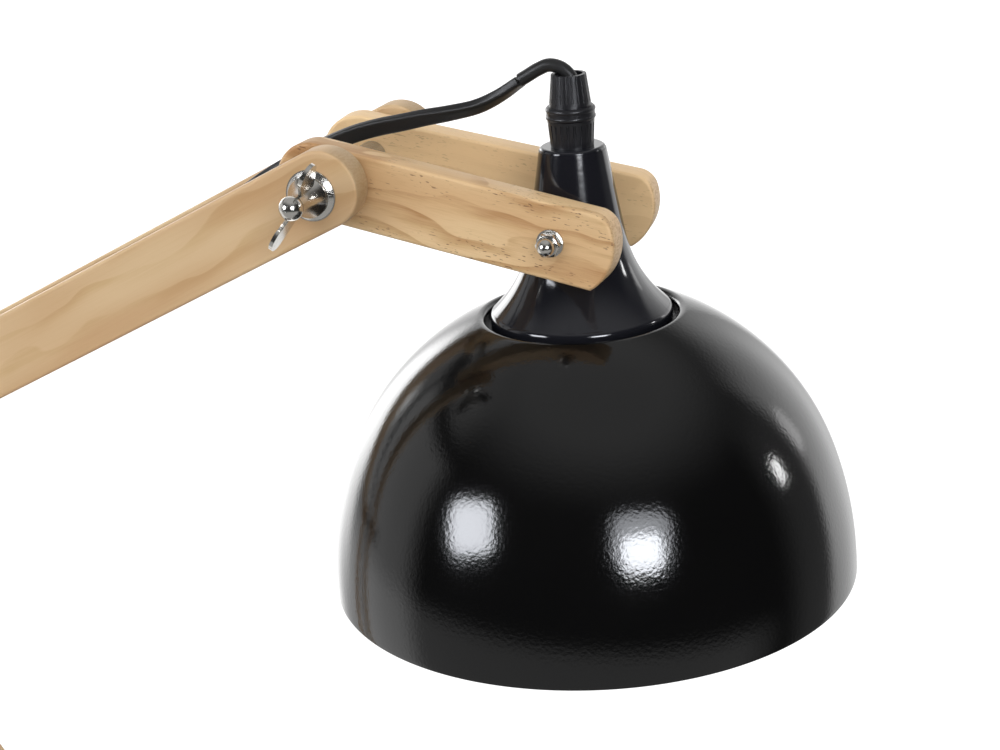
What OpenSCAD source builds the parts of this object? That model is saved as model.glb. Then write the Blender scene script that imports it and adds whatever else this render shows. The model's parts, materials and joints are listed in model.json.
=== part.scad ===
// Jointed desk lamp: round weighted base, two pairs of pine bars, a pine yoke and a black steel shade
// Millimetres. The origin is the middle of the base's underside, +Z up.
// +X points from the base toward the shade, and every pivot turns about a line parallel to Y.

/* [Pose] */
// Lean of the lower arm from upright, away from the shade
lower_lean = 35; // [25:1:45]
// Rise of the upper arm above level
upper_rise = 30; // [20:1:40]
// Fall of the yoke below level
yoke_drop = 8.1; // [4:0.1:14]
// Lean of the shade and its neck from upright
head_lean = 4; // [0:0.1:8]

/* [Base] */
// Diameter of the base cover
base_d = 190; // [170:2:230]
// Height of the base cover's top above the table
base_h = 24; // [20:1:34]
// Sheet thickness of the base cover
base_wall = 1.2; // [0.8:0.1:2]
// Radius of the cover's rounded shoulder
shoulder_r = 12; // [6:1:16]
// Thickness of the felt pad
pad_t = 2.5; // [2:0.1:4]
// How far the felt stands below the cover's edge
pad_show = 1.5; // [0.5:0.1:1.9]
// Thickness of the iron ballast plate
ballast_t = 10; // [6:1:14]
// Gap between the ballast plate's edge and the cover's wall
ballast_gap = 7.8; // [4:0.2:20]
// Diameter of the raised middle of the ballast
ballast_boss_d = 64; // [54:1:80]
// Height of the base pivot above the table
pivot_h = 62; // [54:1:80]
// Width of the wooden post at its foot
post_w = 44; // [40:1:56]
// Radius of the post's rounded top
post_top_r = 16; // [12:0.5:19]
// Distance between the two post screws
post_screw_pitch = 28; // [24:1:32]
// Diameter of the post screws
post_screw_d = 5; // [4:0.5:6]
// Length of the post screws above the cover
post_screw_grip = 22; // [16:1:26]

/* [Arms] */
// Distance between the two pivots of the lower arm
lower_len = 260; // [220:5:300]
// Distance between the two pivots of the upper arm
upper_len = 320; // [270:5:340]
// Distance from the elbow pivot to the neck pivot
yoke_len = 78.2; // [74:0.2:90]
// Width of the lower and upper arm bars
arm_w = 25.8; // [22:0.2:30]
// Width of the yoke bars
yoke_w = 25; // [22:0.5:28]
// Thickness of every wooden bar
bar_t = 10; // [8:0.5:12]
// Gap between the two lower arm bars
lower_gap = 30; // [26:0.5:34]
// Gap between the two yoke bars at the elbow
gap_elbow = 30; // [26:0.5:34]
// Gap between the two yoke bars at the neck
gap_head = 38; // [38:0.2:42]
// How far past its pivot the centre of an arm bar's round end lies
arm_past = 3.5; // [2:0.1:6]
// How far past the elbow pivot the centre of a yoke bar's round end lies
yoke_past = 5.4; // [3:0.1:7]
// Radius of the yoke bar's shallow nose beside the neck
nose_r = 17.6; // [16:0.1:22]
// How far past the neck pivot the nose's centre lies
nose_past = 3.8; // [1:0.1:6]
// Radius of the nose's upper corner
nose_fillet = 7.3; // [3:0.1:8]
// Height of the nose's centre above the middle of the bar
nose_rise = 0.5; // [0:0.1:1.5]
// Gap left for the fibre washers between bars that cross
cross_gap = 3.2; // [2.6:0.1:4]

/* [Pivot hardware] */
// Diameter of the three arm bolts
bolt_d = 6; // [5:0.5:8]
// Diameter of the dished washers
washer_d = 17; // [16:0.5:22]
// Height of the dished washers
washer_t = 1.6; // [1.2:0.1:2.4]
// Diameter of the bolts' domed heads
bolt_head_d = 14; // [12:0.5:16]
// Height of the bolts' domed heads
bolt_head_h = 3.6; // [3:0.1:5]
// Outer diameter of the spacer tubes between the bars
spacer_d = 10; // [9:0.5:11]
// Diameter of the fibre washers
fibre_d = 16; // [14:0.5:18]
// Diameter of a wing nut's hub where it meets the washer
hub_d = 13.5; // [12:0.5:15]
// Diameter of the waist under a wing nut's ball
hub_waist_d = 7.2; // [7:0.1:8]
// Diameter of the ball that closes a wing nut
ball_d = 8; // [7.6:0.1:9]
// Height of the ball's centre above the washer
ball_h = 14; // [13:0.5:16]
// Distance between the tips of the two wings
wing_span = 32.5; // [28:0.5:38]
// Thickness of the wings
wing_t = 1.3; // [1:0.1:2]
// Turn of the wings from the upright, about the bolt
wing_turn = 27; // [0:1:60]
// Diameter of the two studs in the neck
stud_d = 4; // [3.5:0.5:5]
// Diameter of the flat washers on the studs
stud_washer_d = 9; // [8:0.5:10]
// Thickness of the flat washers on the studs
stud_washer_t = 0.8; // [0.6:0.1:1.2]
// Width across flats of the acorn nuts
acorn_af = 7; // [6:0.5:8]
// Height of an acorn nut's hexagon
acorn_hex_h = 3.2; // [2.5:0.1:4]
// Diameter of an acorn nut's dome
acorn_dome_d = 5.8; // [5.2:0.1:6]

/* [Neck] */
// Height of the neck's flat top above its pivot
neck_top_h = 24.5; // [22:0.5:30]
// Radius of the neck at its top
neck_top_r = 10.8; // [10.4:0.1:12]
// Widening of the neck per millimetre of height, above the flare
neck_taper = 0.17; // [0.14:0.01:0.18]
// Depth below the pivot where the flare begins
flare_depth = 5.5; // [4:0.5:7]
// Radius of the flare
flare_r = 43; // [41:1:47]
// Radius of the neck's lip
flange_r = 30.3; // [29:0.1:30.5]
// Radius of the rounding on the neck's lip
lip_r = 2.2; // [1.5:0.1:2.6]
// Wall of the neck
neck_wall = 2.4; // [1.8:0.1:2.8]
// Diameter of the bosses that hold the studs
boss_d = 13; // [11:0.5:14]

/* [Shade] */
// Outer radius of the shade at its rim
shade_r = 90; // [84:1:100]
// Depth of the rim below the neck pivot
rim_depth = 125.2; // [115:1:130]
// Radius of the shade's lower side wall
side_r = 128.6; // [110:0.2:150]
// Angle that the lower side wall turns through
side_turn = 18; // [14:0.5:22]
// Sheet thickness of the shade
shade_wall = 1.2; // [0.8:0.1:1.6]
// Radius of the shade's opening round the neck
opening_r = 32.2; // [31.5:0.1:34]
// Radius of the rolled lip at the opening
roll_r = 2; // [1.6:0.1:2.6]
// Depth of the rolled lip's centre below the pivot
roll_depth = 33.9; // [33:0.1:35]
// Depth of the shade's sunk floor below the pivot
floor_depth = 38; // [37.5:0.1:40]
// Radius of the rolled bead inside the rim
rim_bead_r = 1.6; // [1:0.1:2]

/* [Lampholder] */
// Outer diameter of the hollow threaded nipple
nipple_d = 10; // [9:0.5:10]
// Bore of the nipple
nipple_bore = 6.4; // [6:0.2:7]
// Width across flats of the nipple's nut
nipple_nut_af = 14; // [13:0.5:15]
// Thickness of the nipple's nut
nipple_nut_t = 4; // [3:0.5:5]
// Depth of the lampholder cap's top below the pivot
cap_depth = 14; // [13:0.5:16]
// Outer diameter of the lampholder
holder_d = 39; // [38:0.5:40]
// Length of the lampholder below the shade's floor
holder_len = 40; // [36:1:42]
// Diameter of the lamp's screw cap
bulb_cap_d = 26.4; // [26:0.1:27]
// Diameter of the lamp's glass
bulb_d = 45; // [40:1:46]
// Outer diameter of the shade ring
ring_d = 56; // [50:1:58]
// Height of the shade ring
ring_h = 6; // [4:0.5:8]

/* [Cord grip] */
// Height of the grip's body
grip_body_h = 8.5; // [7:0.5:10]
// Radius of the grip's body at its foot
grip_foot_r = 7; // [6.6:0.1:7.4]
// Radius of the grip's body under its collar
grip_top_r = 7.65; // [7.5:0.05:8]
// Height of the grip's collar
grip_collar_h = 4.4; // [3:0.2:6]
// Radius of the grip's collar
grip_collar_r = 8.1; // [8:0.1:9]
// Height of the grip's ribbed nut
grip_nut_h = 10.4; // [9:0.2:12]
// Radius of the ribbed nut at its foot
grip_nut_foot_r = 6.9; // [6.6:0.1:7.4]
// Radius of the ribbed nut at its mouth
grip_nut_top_r = 5.7; // [5.5:0.1:6.2]
// Bore of the ribbed nut
grip_bore = 9.1; // [8.9:0.1:9.4]
// Number of ribs round the nut
grip_ribs = 22; // [16:1:26]

/* [Cord] */
// Width of the flat cord
cord_w = 5.8; // [5:0.1:6]
// Thickness of the flat cord
cord_t = 3.4; // [3:0.1:3.6]
// Diameter of the round sleeve at the grip
sleeve_d = 4.4; // [4:0.1:4.6]
// Radius of the coil's outermost turn
coil_r = 41.6; // [38:0.2:44]
// Distance between neighbouring turns of the coil
coil_pitch = 6.4; // [6.3:0.1:7]
// Height between the coil's two layers
coil_rise = 4; // [3.9:0.1:4.6]
// Thickness of the strap round the coil
strap_t = 1; // [0.8:0.1:1]
// Width of the strap round the coil
strap_w = 8; // [6:0.5:10]

/* [Switch and plug] */
// Length of the switch in the cord
switch_l = 56; // [52:1:64]
// Width of the switch
switch_w = 25; // [23:0.5:30]
// Height of the switch
switch_h = 17; // [16:0.5:20]
// Wall of the switch case
switch_wall = 2; // [1.6:0.1:2.4]
// Length of the rocker
rocker_l = 15; // [13:0.5:18]
// Width of the rocker
rocker_w = 9.6; // [8:0.2:11]
// Rocker's tilt either way
rocker_tilt = 8; // [5:0.5:9]
// Length of the plug's body
plug_l = 36; // [32:1:40]
// Width of the plug's face
plug_w = 26; // [25:0.5:30]
// Length of the tapered strain relief on the plug
boot_l = 24; // [20:1:36]
// Distance between the two pins
pin_pitch = 18.6; // [17:0.2:19]
// Diameter of the pins
pin_d = 4; // [3.8:0.1:4.8]
// Length of the pins
pin_l = 19; // [17:0.5:20]

/* [Hidden] */
$fn = 96;

pine = "#d8b283";
black = "#1b1b1d";
chrome = "#c9c9cd";

// Clearances
run = 0.06;
face = 0.05;
loose = 0.3;
eps = 0.01;

// Pivots in the plane of the arms, from the pose angles
base_pivot = [0, pivot_h];
knee = base_pivot + lower_len * [-sin(lower_lean), cos(lower_lean)];
elbow = knee + upper_len * [cos(upper_rise), sin(upper_rise)];
head = elbow + yoke_len * [cos(yoke_drop), -sin(yoke_drop)];

// Bars seen from above: the yoke lies inside the upper arm, and the lower arm astride the post
upper_in = max(gap_elbow, lower_gap) / 2 + bar_t + cross_gap;
upper_out = upper_in + bar_t;
lower_out = lower_gap / 2 + bar_t;
post_t = lower_gap - 2 * loose;
splay = atan((gap_head - gap_elbow) / 2 / yoke_len);
bolt_bore = bolt_d / 2 + run;
stud_bore = stud_d / 2 + run;

module at(p, turn = 0) {
    translate([p.x, 0, p.y])
        rotate([0, turn, 0])
            children();
}
module at_lower() {
    at(base_pivot, -90 - lower_lean) children();
}
module at_upper() {
    at(knee, -upper_rise) children();
}
module at_yoke() {
    at(elbow, yoke_drop) children();
}
module at_head() {
    at(head, -head_lean) children();
}

// A rod or tube along Y between two depths
module rod(y0, y1, r) {
    translate([0, y0, 0])
        rotate([-90, 0, 0])
            cylinder(h = y1 - y0, r = r);
}
module tube_y(y0, y1, r, bore) {
    difference() {
        rod(y0, y1, r);
        rod(y0 - 1, y1 + 1, bore);
    }
}
// A flat outline in X and Z, made thick between two depths
module slab(y0, y1) {
    translate([0, y1, 0])
        rotate([90, 0, 0])
            linear_extrude(y1 - y0)
                children();
}
// A profile of radius and height turned about the line of a bolt, growing toward the viewer
module turned(y0) {
    translate([0, y0, 0])
        rotate([90, 0, 0])
            rotate_extrude()
                children();
}
module both_sides() {
    children();
    mirror([0, 1, 0])
        children();
}

// Base

// Cover outline, drawn in by a wall, from the axis outward
module cover_area(wall) {
    r = base_d / 2 - wall;
    h = base_h - wall;
    s = shoulder_r - wall;
    square([r, h - s]);
    square([r - s, h]);
    translate([r - s, h - s])
        circle(s);
}
module base_cover() {
    color(black)
        difference() {
            rotate_extrude($fn = 180)
                intersection() {
                    difference() {
                        cover_area(0);
                        cover_area(base_wall);
                    }
                    translate([0, pad_show])
                        square([base_d, base_h]);
                }
            post_screw_holes(post_screw_d / 2 + face);
        }
}
module post_screw_holes(r) {
    for (s = [-1, 1])
        translate([s * post_screw_pitch / 2, 0, -1])
            cylinder(h = base_h + 2, r = r);
}
// Screw head below the ballast, sunk flush
screw_head_r = post_screw_d * 0.9;
screw_head_t = post_screw_d * 0.6;
ballast_top = base_h - base_wall;
module base_ballast() {
    color("#4a4a4c")
        difference() {
            union() {
                translate([0, 0, pad_t])
                    cylinder(h = ballast_t, r = base_d / 2 - base_wall - ballast_gap, $fn = 180);
                translate([0, 0, pad_t])
                    cylinder(h = ballast_top - pad_t, d = ballast_boss_d);
            }
            post_screw_holes(post_screw_d / 2 + face);
            for (s = [-1, 1])
                translate([s * post_screw_pitch / 2, 0, pad_t - 1])
                    cylinder(h = screw_head_t + 1 + face, r = screw_head_r + loose);
        }
}
module base_pad() {
    color("#2a2a2a")
        cylinder(h = pad_t, r = base_d / 2 - base_wall - loose, $fn = 180);
}
module base_post() {
    color(pine)
        difference() {
            slab(-post_t / 2, post_t / 2) {
                translate(base_pivot)
                    circle(post_top_r);
                polygon([[-post_w / 2, base_h], [post_w / 2, base_h],
                         [post_top_r, pivot_h], [-post_top_r, pivot_h]]);
            }
            at(base_pivot)
                rod(-post_t, post_t, bolt_bore);
            for (s = [-1, 1])
                translate([s * post_screw_pitch / 2, 0, base_h - 1])
                    cylinder(h = post_screw_grip + 1 + loose, r = post_screw_d / 2 + face);
        }
}
module post_screws() {
    color(chrome)
        for (s = [-1, 1])
            translate([s * post_screw_pitch / 2, 0, pad_t]) {
                cylinder(h = screw_head_t, r = screw_head_r);
                cylinder(h = base_h + post_screw_grip - pad_t, d = post_screw_d);
            }
}

// Pivot hardware, along Y, for a stack whose outer faces lie at the depth out on both sides

bolt_end = washer_t + 8.5;
module pivot_bolt(out) {
    back = out + washer_t;
    color(chrome) {
        rod(-out - bolt_end, back + eps, bolt_d / 2);
        // domed head: a slice of a ball
        ball_r = (pow(bolt_head_d / 2, 2) + pow(bolt_head_h, 2)) / (2 * bolt_head_h);
        intersection() {
            rod(back, back + bolt_head_h + 1, bolt_head_d / 2);
            translate([0, back + bolt_head_h - ball_r, 0])
                sphere(ball_r);
        }
    }
}
// Washer dished toward the bar, thicker at its middle
module dished_washer(y) {
    turned(y)
        difference() {
            union() {
                square([washer_d / 2, washer_t * 0.3]);
                polygon([[0, 0], [washer_d / 2 - 0.4, washer_t * 0.3],
                         [washer_d / 2 - 2.4, washer_t], [0, washer_t]]);
            }
            translate([-1, -1])
                square([bolt_bore + 1, washer_t + 2]);
        }
}
module pivot_washers(out) {
    color(chrome)
        both_sides()
            dished_washer(-out);
}
// Fibre washers that fill the gap between crossing bars
module fibre_washers(y, t) {
    color("#6b4a33")
        both_sides()
            tube_y(y, y + t, fibre_d / 2, bolt_bore);
}
// Bell-shaped hub closed by a ball, with two thin rounded wings; its foot lies at the depth y
wing_tip_r = 4.4;
wing_h = ball_h - 1;
module wing_nut(y) {
    waist_h = ball_h - sqrt(pow(ball_d / 2, 2) - pow(hub_waist_d / 2, 2));
    // the bell's hollow side is an arc through the foot's edge and the waist
    foot_t = 1.6;
    rise = waist_h - foot_t;
    run_in = (hub_d - hub_waist_d) / 2;
    bell_r = (rise * rise + run_in * run_in) / (2 * run_in);
    color(chrome)
        difference() {
            union() {
                turned(y) {
                    square([hub_d / 2, foot_t]);
                    difference() {
                        translate([0, foot_t - eps])
                            square([hub_d / 2, rise + eps]);
                        translate([hub_waist_d / 2 + bell_r, waist_h])
                            circle(bell_r);
                    }
                    translate([0, waist_h - eps])
                        square([hub_waist_d / 2, ball_h - waist_h]);
                    intersection() {
                        translate([0, ball_h])
                            circle(ball_d / 2);
                        translate([0, waist_h])
                            square([ball_d, ball_d]);
                    }
                }
                for (s = [0, 180])
                    rotate([0, wing_turn - 90 + s, 0])
                        translate([0, y, -wing_t / 2])
                            mirror([0, 1, 0])
                                linear_extrude(wing_t)
                                    wing_outline();
            }
            rod(y - bolt_end, y + 1, bolt_d / 2 + run);
        }
}
module wing_outline() {
    tip = wing_span / 2 - wing_tip_r;
    translate([tip, wing_h])
        circle(wing_tip_r);
    polygon([[hub_waist_d / 2 - 0.5, 3.4], [hub_d / 2 - 0.6, 3.4],
             [tip + wing_tip_r * 0.75, wing_h - wing_tip_r * 0.66],
             [tip - wing_tip_r * 0.5, wing_h + wing_tip_r * 0.866],
             [hub_waist_d / 2 - 0.5, wing_h - 3]]);
}

// Base pivot
module base_bolt() {
    at(base_pivot) pivot_bolt(lower_out);
}
module base_washers() {
    at(base_pivot) pivot_washers(lower_out);
}
module base_wing_nut() {
    at(base_pivot) wing_nut(-lower_out - washer_t - face);
}

// Lower arm

module arm_outline(len) {
    translate([-arm_past, -arm_w / 2])
        square([len + 2 * arm_past, arm_w]);
    for (x = [-arm_past, len + arm_past])
        translate([x, 0])
            circle(arm_w / 2);
}
module arm_bar(len, y0) {
    color(pine)
        difference() {
            slab(y0, y0 + bar_t)
                arm_outline(len);
            for (x = [0, len])
                translate([x, 0, 0])
                    rod(y0 - 1, y0 + bar_t + 1, bolt_bore);
        }
}
module lower_bar_front() {
    at_lower() arm_bar(lower_len, -lower_out);
}
module lower_bar_rear() {
    at_lower() arm_bar(lower_len, lower_out - bar_t);
}
module spacer(len) {
    color(chrome)
        tube_y(-len / 2, len / 2, spacer_d / 2, bolt_bore);
}
module knee_spacer() {
    at(knee) spacer(lower_gap - 2 * face);
}

// Knee and upper arm

module knee_bolt() {
    at(knee) pivot_bolt(upper_out);
}
module knee_washers() {
    at(knee) pivot_washers(upper_out);
}
module knee_fibre() {
    at(knee) fibre_washers(lower_out + face, upper_in - lower_out - face);
}
module knee_wing_nut() {
    at(knee) wing_nut(-upper_out - washer_t - face);
}
module upper_bar_front() {
    at_upper() arm_bar(upper_len, -upper_out);
}
module upper_bar_rear() {
    at_upper() arm_bar(upper_len, upper_in);
}
module elbow_bolt() {
    at(elbow) pivot_bolt(upper_out);
}
module elbow_washers() {
    at(elbow) pivot_washers(upper_out);
}
// The yoke's outer face slants, so this washer is thinner than the gap by what the slant takes up
elbow_fibre_t = upper_in - yoke_face(fibre_d / 2) - face;
module elbow_fibre() {
    at(elbow) fibre_washers(upper_in - elbow_fibre_t, elbow_fibre_t);
}
module elbow_wing_nut() {
    at(elbow) wing_nut(-upper_out - washer_t - face);
}

// Yoke

// Depth of a yoke bar's outer face at a distance along the yoke
function yoke_face(x) = gap_elbow / 2 + bar_t / cos(splay) + x * tan(splay);
module yoke_outline() {
    len = yoke_len / cos(splay);
    nose = [len + nose_past, nose_rise];
    // centre of the upper corner's rounding, inside the nose's arc and below the top edge
    fc = [nose.x + sqrt(pow(nose_r - nose_fillet, 2) - pow(yoke_w / 2 - nose_fillet - nose.y, 2)),
          yoke_w / 2 - nose_fillet];
    out = (fc - nose) / norm(fc - nose);
    translate([-yoke_past, 0])
        circle(yoke_w / 2);
    translate([-yoke_past, -yoke_w / 2])
        square([len + yoke_past, yoke_w]);
    difference() {
        intersection() {
            translate([len - 1, -yoke_w / 2])
                square([nose_r + nose_past + 2, yoke_w]);
            translate(nose)
                circle(nose_r);
        }
        polygon([fc, fc + [0, nose_r], fc + [nose_r, nose_r], fc + nose_r * out]);
    }
    translate(fc)
        circle(nose_fillet);
}
module yoke_bar() {
    color(pine)
        difference() {
            translate([0, gap_elbow / 2, 0])
                rotate([0, 0, splay])
                    slab(0, bar_t)
                        yoke_outline();
            rod(0, gap_elbow + bar_t, bolt_bore);
            translate([yoke_len, 0, 0])
                rod(0, gap_head + bar_t, stud_bore);
        }
}
module yoke_bar_rear() {
    at_yoke() yoke_bar();
}
module yoke_bar_front() {
    at_yoke()
        mirror([0, 1, 0])
            yoke_bar();
}
module elbow_spacer() {
    at(elbow) spacer(gap_elbow - spacer_d * tan(splay) - 2 * face);
}
// Flat washers under the acorn nuts lie flush on the slanted bars
module stud_washers() {
    color(chrome)
        at_yoke()
            both_sides()
                difference() {
                    translate([yoke_len, yoke_face(yoke_len), 0])
                        rotate([0, 0, splay])
                            rod(0, stud_washer_t, stud_washer_d / 2);
                    translate([yoke_len, 0, 0])
                        rod(0, gap_head + bar_t, stud_bore + loose / 2);
                }
}

// Neck

function neck_cone(z) = neck_top_r + neck_taper * (neck_top_h - z);
flare_turn = atan(neck_taper);
flare_start = [neck_cone(-flare_depth), -flare_depth];
flare_centre = flare_start + flare_r * [cos(flare_turn), sin(flare_turn)];
// Where the flare reaches a given radius, and the neck's radius at a given height
function flare_z(r) = flare_centre.y - sqrt(flare_r * flare_r - pow(flare_centre.x - r, 2));
function flare_at(z) = flare_centre.x - sqrt(flare_r * flare_r - pow(z - flare_centre.y, 2));
lip_touch = flange_r - lip_r * 0.3;
lip_z = flare_z(lip_touch) - lip_r * 0.7;
neck_edge_r = 1.2;
module neck_area(wall) {
    top = neck_top_h - wall;
    difference() {
        polygon([[0, top], [neck_top_r - wall, top], [neck_top_r - wall, neck_top_h],
                 [flare_start.x - wall, -flare_depth],
                 [lip_touch - wall, flare_z(lip_touch)],
                 [lip_touch - wall, -floor_depth], [0, -floor_depth]]);
        translate(flare_centre)
            circle(flare_r + wall, $fn = 256);
        translate([0, top])
            square([neck_top_r, neck_top_h]);
    }
}
module neck_profile() {
    difference() {
        union() {
            neck_area(0);
            translate([flange_r - lip_r, lip_z])
                circle(lip_r);
            translate([flange_r - lip_r, -floor_depth])
                square([lip_r, lip_z + floor_depth]);
        }
        neck_area(neck_wall);
        // the top's outer edge is rounded
        translate([neck_top_r - neck_edge_r, neck_top_h - neck_edge_r])
            difference() {
                square(2 * neck_edge_r);
                circle(neck_edge_r);
            }
        translate([-1, -floor_depth - 1])
            square([nipple_d / 2 + face + 1, neck_top_h + floor_depth + 2]);
    }
}
// The bosses end short of the bars by the fibre washers
neck_washer_t = 0.6;
boss_end = gap_head / 2 - boss_d / 2 * tan(splay) - face - neck_washer_t;
stud_in = nipple_d / 2 + 2.5;
module neck() {
    color(black)
        at_head()
            difference() {
                union() {
                    rotate_extrude()
                        neck_profile();
                    both_sides()
                        rod(stud_in, boss_end, boss_d / 2);
                }
                both_sides()
                    rod(stud_in + 2, boss_end + 1, stud_d / 2);
            }
}
stud_out = yoke_face(yoke_len) + stud_washer_t + acorn_af / 2 * tan(splay) + face;
module neck_studs() {
    color(chrome)
        at_head()
            both_sides()
                rod(stud_in + 2, stud_out + acorn_hex_h, stud_d / 2);
}
module neck_washers() {
    color("#6b4a33")
        at_head()
            both_sides()
                tube_y(boss_end, boss_end + neck_washer_t, boss_d / 2, stud_bore);
}
module acorn_nuts() {
    color(chrome)
        at_head()
            both_sides()
                translate([0, stud_out, 0])
                    rotate([-90, 0, 0])
                        difference() {
                            union() {
                                intersection() {
                                    cylinder(h = acorn_hex_h, d = acorn_af / cos(30), $fn = 6);
                                    translate([0, 0, acorn_hex_h - acorn_af * 0.86])
                                        sphere(acorn_af * 0.98);
                                }
                                translate([0, 0, acorn_hex_h])
                                    cylinder(h = 1, d = acorn_dome_d);
                                translate([0, 0, acorn_hex_h + 1])
                                    intersection() {
                                        sphere(d = acorn_dome_d);
                                        cylinder(h = acorn_dome_d, d = acorn_dome_d);
                                    }
                            }
                            translate([0, 0, -1])
                                cylinder(h = acorn_hex_h + 1, d = stud_d);
                        }
}

// Shade

side_c = [shade_r - side_r, -rim_depth];
side_out = [cos(side_turn), sin(side_turn)];
join = side_c + side_r * side_out;
// The crown is the arc that leaves the side wall smoothly and runs smoothly into the rolled lip
roll_c = [opening_r + roll_r, -roll_depth];
to_join = join - roll_c;
crown_r = (to_join * to_join - roll_r * roll_r) / (2 * (to_join * side_out - roll_r));
crown_c = join - crown_r * side_out;
crown_turn = atan2(roll_c.y - crown_c.y, roll_c.x - crown_c.x);
// The crown's sheet ends this far short of the place where it touches the lip
lap = 0.5;
crown_end = crown_turn - asin(lap / crown_r);
module shade_area(wall) {
    intersection() {
        translate(side_c)
            circle(side_r - wall, $fn = 256);
        translate([0, -rim_depth])
            square([shade_r, join.y + rim_depth]);
    }
    intersection() {
        translate(crown_c)
            circle(crown_r - wall, $fn = 256);
        translate([0, join.y - eps])
            square([shade_r, crown_r]);
    }
}
module shade() {
    color(black)
        at_head()
            rotate_extrude($fn = 180) {
                difference() {
                    shade_area(0);
                    shade_area(shade_wall);
                    // open inside the lip
                    translate(crown_c)
                        polygon([[0, 0], 2 * crown_r * [cos(crown_end), sin(crown_end)],
                                 [-crown_r, 2 * crown_r]]);
                }
                translate(roll_c)
                    circle(roll_r);
                translate([opening_r, -floor_depth - shade_wall])
                    square([shade_wall, floor_depth + shade_wall - roll_depth]);
                translate([holder_d / 2 + loose, -floor_depth - shade_wall])
                    square([opening_r + shade_wall - holder_d / 2 - loose, shade_wall]);
                translate([shade_r - rim_bead_r, -rim_depth + rim_bead_r])
                    circle(rim_bead_r);
            }
}

// Lampholder and lamp, on the head's axis

holder_end = floor_depth + holder_len;
cap_top_r = nipple_d / 2 + 3;
cap_in = cap_depth + 6;
module holder_cap() {
    shoulder = holder_d / 2 + 4;
    color("#26262a")
        at_head()
            rotate_extrude()
                difference() {
                    polygon([[0, -cap_depth], [cap_top_r, -cap_depth],
                             [holder_d / 2 - 3, -cap_depth - 8], [holder_d / 2, -cap_depth - 14],
                             [holder_d / 2, -floor_depth + 2], [shoulder, -floor_depth + 2],
                             [shoulder, -floor_depth], [0, -floor_depth]]);
                    translate([-1, -cap_in])
                        square([nipple_d / 2 + 1 + face, cap_in]);
                    translate([-1, -floor_depth - 1])
                        square([nipple_bore / 2 + 1, floor_depth]);
                }
}
module holder_body() {
    color("#26262a")
        at_head()
            rotate_extrude()
                difference() {
                    translate([0, -holder_end])
                        square([holder_d / 2, holder_len]);
                    translate([-1, -holder_end - 1])
                        square([bulb_cap_d / 2 + loose + 1, holder_len - 1]);
                    translate([-1, -floor_depth - 3])
                        square([nipple_bore / 2 + 1, 4]);
                }
}
core_top = floor_depth + 2;
core_t = 9;
module holder_core() {
    color("#e6e2d8")
        at_head()
            rotate_extrude()
                translate([0, -core_top - core_t])
                    difference() {
                        square([bulb_cap_d / 2 + loose - face, core_t]);
                        translate([-1, core_t - 4])
                            square([nipple_bore / 2 + 1, 5]);
                    }
}
module shade_ring() {
    top = floor_depth + shade_wall;
    color("#26262a")
        at_head()
            rotate_extrude()
                difference() {
                    union() {
                        translate([holder_d / 2 + face, -top - ring_h])
                            square([4, ring_h]);
                        translate([holder_d / 2 + face, -top - 2])
                            square([ring_d / 2 - holder_d / 2 - face, 2]);
                    }
                    translate([ring_d / 2 - 0.8, -top - 2.8])
                        circle(0.8);
                }
}
tip_z = core_top + core_t;
cap_len = 26;
// the round of the glass begins just below the holder's mouth
glass_c = holder_end + loose + sqrt(pow(bulb_d / 2, 2) - pow(bulb_cap_d / 2, 2));
module bulb_cap() {
    color(chrome)
        at_head()
            rotate_extrude()
                polygon([[0, -tip_z], [4.5, -tip_z], [6, -tip_z - 3], [bulb_cap_d / 2, -tip_z - 6],
                         [bulb_cap_d / 2, -tip_z - cap_len], [0, -tip_z - cap_len]]);
}
module bulb_glass() {
    color("#f4f1e6")
        at_head()
            rotate_extrude()
                intersection() {
                    union() {
                        translate([0, -glass_c])
                            circle(bulb_d / 2);
                        translate([0, -glass_c])
                            square([bulb_cap_d / 2 - 0.6, glass_c - tip_z - cap_len]);
                    }
                    translate([0, -glass_c - bulb_d])
                        square([bulb_d, glass_c + bulb_d - tip_z - cap_len]);
                }
}

// Nipple, its nut and the cord grip

nipple_top = neck_top_h + 6;
module nipple() {
    color("#c9a253")
        at_head()
            translate([0, 0, -cap_in])
                difference() {
                    cylinder(h = cap_in + nipple_top, d = nipple_d);
                    translate([0, 0, -1])
                        cylinder(h = cap_in + nipple_top + 2, d = nipple_bore);
                }
}
module nipple_nut() {
    color("#c9a253")
        at_head()
            translate([0, 0, neck_top_h - neck_wall - nipple_nut_t])
                difference() {
                    cylinder(h = nipple_nut_t, d = nipple_nut_af / cos(30), $fn = 6);
                    translate([0, 0, -1])
                        cylinder(h = nipple_nut_t + 2, d = nipple_d + 2 * face);
                }
}
collar_z = neck_top_h + grip_body_h;
nut_z = collar_z + grip_collar_h;
module grip_body() {
    color("#202022")
        at_head()
            difference() {
                rotate_extrude() {
                    difference() {
                        union() {
                            polygon([[0, neck_top_h], [grip_foot_r, neck_top_h],
                                     [grip_top_r, collar_z + eps], [0, collar_z + eps]]);
                            translate([0, collar_z])
                                square([grip_collar_r - 0.6, grip_collar_h]);
                            for (z = [1, grip_collar_h - 1])
                                translate([grip_collar_r - 1, collar_z + z])
                                    circle(1);
                            translate([0, collar_z + 1])
                                square([grip_collar_r - 0.25, grip_collar_h - 2]);
                        }
                        translate([-1, neck_top_h - 1])
                            square([nipple_bore / 2 + 1, nut_z]);
                        translate([-1, neck_top_h - 1])
                            square([nipple_d / 2 + face + 1, nipple_top + face - neck_top_h + 1]);
                    }
                }
                // fine upright grooves round the body
                for (k = [0:grip_ribs - 1])
                    rotate(k * 360 / grip_ribs)
                        translate([grip_foot_r + 0.45, 0, neck_top_h - 1])
                            cylinder(h = grip_body_h, r = 0.45, $fn = 24);
            }
}
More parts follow.
